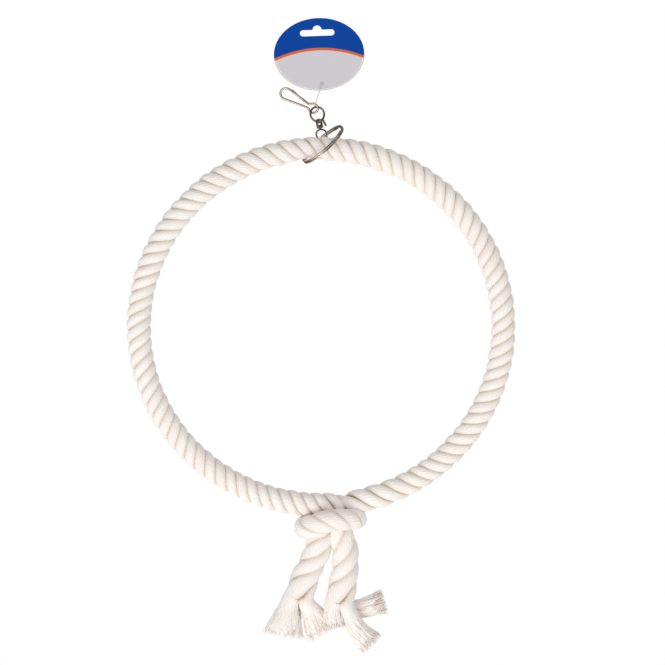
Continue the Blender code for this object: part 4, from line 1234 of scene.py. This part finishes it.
def build_snap():
    """One bent wire from its base loop round to the catch, and the flattened gate that springs to it."""
    along, across, normal, origin = clip_place()
    place = (along, across, normal, origin)
    base_r, base_from, base_to = 3.3 * MM, math.radians(55), math.radians(300)
    crown_r, crown_from, crown_to = 3.9 * MM, math.radians(-97), math.radians(84)
    neck_x, neck_half, leg_y = 4.4 * MM, 1.05 * MM, -1.7 * MM
    crown_x = CLIP_BEARING + CLIP_WIRE_D / 2 - crown_r
    root = np.array((neck_x - 0.9 * MM, neck_half))
    tip = np.array((crown_x - 2.9 * MM, crown_r - 0.2 * MM))
    base = arc((0, 0), base_r, base_from, base_to, 9)
    crown = arc((crown_x, 0), crown_r, crown_from, crown_to, 11)
    outline = flat_to_world([(neck_x, neck_half)] + base + [(neck_x, leg_y)] + crown, place)
    # the end of the wire hooks over the front of the gate's tip
    catch = [tip + (tip - root) * share for share in (0.06, -0.06, -0.2)]
    over = 1.3 * MM * np.array((0.45, 1.0, 1.0))
    hook = flat_to_world(catch, place) + over[:, None] * normal
    path = smooth_path(np.vstack([outline, hook]), 0.3 * MM)
    snap = grid_mesh("snap_wire", [wire(path, normal, CLIP_WIRE_D / 2, 20)])
    settle(snap, "clip", nickel(), "nickel_plated_steel", "clip_frame")

    gate_w, gate_h = 1.6 * MM, 1.0 * MM
    t = np.linspace(0, 1, 48)
    middle = flat_to_world(root + (tip - root) * t[:, None], place)
    flatness = smoothstep(t, 0.1, 0.4)
    rounded = np.sqrt(1 - np.clip((t - 0.94) / 0.062, 0, 0.97) ** 2)
    wide = (CLIP_WIRE_D + (gate_w - CLIP_WIRE_D) * flatness) / 2 * rounded
    high = (CLIP_WIRE_D + (gate_h - CLIP_WIRE_D) * flatness) / 2 * rounded
    normals = np.tile(normal, (len(t), 1))
    side = np.cross(normals, directions(middle))
    gate = grid_mesh("snap_gate", [sections(middle, side, normals, wide, high, 2.6, 20)])
    # the gate takes the darker copy of the plate, painted shade beside the bright wire
    settle(gate, "gate", shaded_nickel(), "nickel_plated_steel", "clip_gate")


def card_ply(name, smaller, thick, depth):
    """One ply of the card: a flat oval about its centre, with the hanging slot and the filament's hole."""
    edge = 0.04 * MM
    curve = bpy.data.curves.new(name, "CURVE")
    curve.dimensions = "2D"
    curve.fill_mode = "BOTH"
    curve.extrude = thick / 2 - edge
    curve.bevel_depth = edge
    curve.bevel_resolution = 1
    half_w, half_h = TAG_W / 2 - smaller, TAG_H / 2 - smaller
    oval = [(half_w * math.cos(t), half_h * math.sin(t)) for t in round_turns(160)]
    # a straight slot with round ends, and a round notch above its middle
    slot_x, slot_y, slot_half, slot_r = -0.8 * MM, TAG_H / 2 - 10.3 * MM, 9.9 * MM, 2.2 * MM
    notch_r, notch_up, notch_from = 3.2 * MM, 2.0 * MM, 0.06
    quarter = math.pi / 2
    slot = arc((slot_x + slot_half, slot_y), slot_r, -quarter, quarter, 15)
    slot += arc((slot_x, slot_y + notch_up), notch_r, notch_from, math.pi - notch_from, 21)
    slot += arc((slot_x - slot_half, slot_y), slot_r, quarter, 3 * quarter, 15)
    hole = arc(TAG_HOLE, TAG_HOLE_R, 0, math.tau * 27 / 28, 28)
    for outline in (oval, slot, hole):
        poly_spline(curve, [(x, y, 0) for x, y in outline]).use_cyclic_u = True
    obj = add_object(name, curve)
    mesh = evaluated_mesh(obj)
    bpy.data.objects.remove(obj, do_unlink=True)
    mesh.transform(Matrix.Translation((0, 0, depth)))
    return mesh


def build_tag(scene):
    """Two plies of card glued together, printed on the front, with the board bare at the cut edge."""
    _, _, back, origin = tag_place()
    card_right = np.array((math.cos(TAG_TILT), 0, math.sin(TAG_TILT)))
    card_up = np.array((-math.sin(TAG_TILT), 0, math.cos(TAG_TILT)))
    centre = origin + np.array((TAG_SIDE, 0, TAG_HOLE_UP - TAG_HOLE[1]))
    place = Matrix(np.column_stack([card_right, card_up, -back]).tolist()).to_4x4()
    place.translation = Vector(centre)
    bm = bmesh.new()
    bm.from_mesh(card_ply("card_front", 0, 0.3 * MM, 0.15 * MM))
    bm.from_mesh(card_ply("card_back", 0.12 * MM, 0.28 * MM, -0.155 * MM))
    bm.normal_update()
    # the print is placed by the card's own flat axes, and marks the faces of the cut edge
    printed = bm.loops.layers.float_vector.new("print")
    for face in bm.faces:
        edge = 1.0 if abs(face.normal.z) < 0.8 else 0.0
        for loop in face.loops:
            loop[printed] = (loop.vert.co.x, loop.vert.co.y, edge)
    mesh = bpy.data.meshes.new("hang_tag_card")
    bm.transform(place)
    bm.to_mesh(mesh)
    bm.free()
    card = add_object("hang_tag_card", mesh)
    printed_card = shared("varnished_printed_card", card_material, scene.swing_tag)
    settle(card, "tag", printed_card, "printed_card", "hang_tag")


# Add-on


class SwingOperator:
    bl_options = {"REGISTER", "UNDO"}

    def finished(self, build, *details):
        """Run a builder, and stop the script if it makes nothing."""
        before = len(bpy.data.objects)
        build(*details)
        if len(bpy.data.objects) == before:
            raise RuntimeError(f"{self.bl_label} made nothing")
        return {"FINISHED"}


class SWING_OT_stage(SwingOperator, bpy.types.Operator):
    """Make the camera, the soft light and the pale floor"""
    bl_idname = "swing.stage"
    bl_label = "Stage"

    def execute(self, context):
        return self.finished(build_stage, context.scene)


class SWING_OT_filament(SwingOperator, bpy.types.Operator):
    """Make the tag's filament and the bead that locks it"""
    bl_idname = "swing.filament"
    bl_label = "Filament"

    def execute(self, context):
        return self.finished(build_filament, context.scene)


class SWING_OT_rope_ring(SwingOperator, bpy.types.Operator):
    """Lay the three strands of the perch ring"""
    bl_idname = "swing.rope_ring"
    bl_label = "Rope ring"

    def execute(self, context):
        return self.finished(build_ring, context.scene)


class SWING_OT_knot(SwingOperator, bpy.types.Operator):
    """Lay the turn of rope that binds the ends"""
    bl_idname = "swing.knot"
    bl_label = "Knot"

    def execute(self, context):
        return self.finished(build_knot, context.scene)


class SWING_OT_rope_ends(SwingOperator, bpy.types.Operator):
    """Lay both free rope ends and fray their strands"""
    bl_idname = "swing.rope_ends"
    bl_label = "Rope ends"

    def execute(self, context):
        self.finished(build_end, context.scene, "left", LEFT_TAIL, LEFT_STRANDS)
        return self.finished(build_end, context.scene, "right", RIGHT_TAIL, RIGHT_STRANDS)


class SWING_OT_core_hoop(SwingOperator, bpy.types.Operator):
    """Bend the wire hoop inside the rope"""
    bl_idname = "swing.core_hoop"
    bl_label = "Core hoop"

    def execute(self, context):
        return self.finished(build_hoop, context.scene)


class SWING_OT_split_ring(SwingOperator, bpy.types.Operator):
    """Wind the split ring"""
    bl_idname = "swing.split_ring"
    bl_label = "Split ring"

    def execute(self, context):
        return self.finished(build_split_ring)


class SWING_OT_swivel(SwingOperator, bpy.types.Operator):
    """Make the swivel's ring, yoke and eye"""
    bl_idname = "swing.swivel"
    bl_label = "Swivel"

    def execute(self, context):
        return self.finished(build_swivel)


class SWING_OT_snap(SwingOperator, bpy.types.Operator):
    """Bend the snap and its sprung gate"""
    bl_idname = "swing.snap"
    bl_label = "Snap"

    def execute(self, context):
        return self.finished(build_snap)


class SWING_OT_hang_tag(SwingOperator, bpy.types.Operator):
    """Cut and print the hang tag"""
    bl_idname = "swing.hang_tag"
    bl_label = "Hang tag"

    def execute(self, context):
        return self.finished(build_tag, context.scene)


OPERATORS = (
    SWING_OT_stage, SWING_OT_filament, SWING_OT_rope_ring, SWING_OT_knot, SWING_OT_rope_ends,
    SWING_OT_core_hoop, SWING_OT_split_ring, SWING_OT_swivel, SWING_OT_snap, SWING_OT_hang_tag,
)
SETTINGS = {
    "swing_rope": SwingRopeSettings,
    "swing_steel": SwingSteelSettings,
    "swing_tag": SwingTagSettings,
    "swing_stage": SwingStageSettings,
}


class SWING_PT_panel(bpy.types.Panel):
    bl_idname = "SWING_PT_panel"
    bl_label = "Rope Ring Swing"
    bl_space_type = "VIEW_3D"
    bl_region_type = "UI"
    bl_category = "Swing"

    def draw(self, context):
        layout = self.layout
        for name, group in SETTINGS.items():
            box = layout.box()
            for prop in group.__annotations__:
                box.prop(getattr(context.scene, name), prop)
        column = layout.column(align=True)
        for operator in OPERATORS:
            column.operator(operator.bl_idname)


def register():
    for name, group in SETTINGS.items():
        bpy.utils.register_class(group)
        setattr(bpy.types.Scene, name, PointerProperty(type=group))
    for operator in OPERATORS:
        bpy.utils.register_class(operator)
    bpy.utils.register_class(SWING_PT_panel)


def unregister():
    bpy.utils.unregister_class(SWING_PT_panel)
    for operator in reversed(OPERATORS):
        bpy.utils.unregister_class(operator)
    for name, group in SETTINGS.items():
        delattr(bpy.types.Scene, name)
        bpy.utils.unregister_class(group)


def main():
    register()
    bpy.ops.swing.stage()
    bpy.ops.swing.filament()
    bpy.ops.swing.rope_ring()
    bpy.ops.swing.knot()
    bpy.ops.swing.rope_ends()
    bpy.ops.swing.core_hoop()
    bpy.ops.swing.split_ring()
    bpy.ops.swing.swivel()
    bpy.ops.swing.snap()
    bpy.ops.swing.hang_tag()
    bpy.context.view_layer.update()


if __name__ == "__main__":
    main()
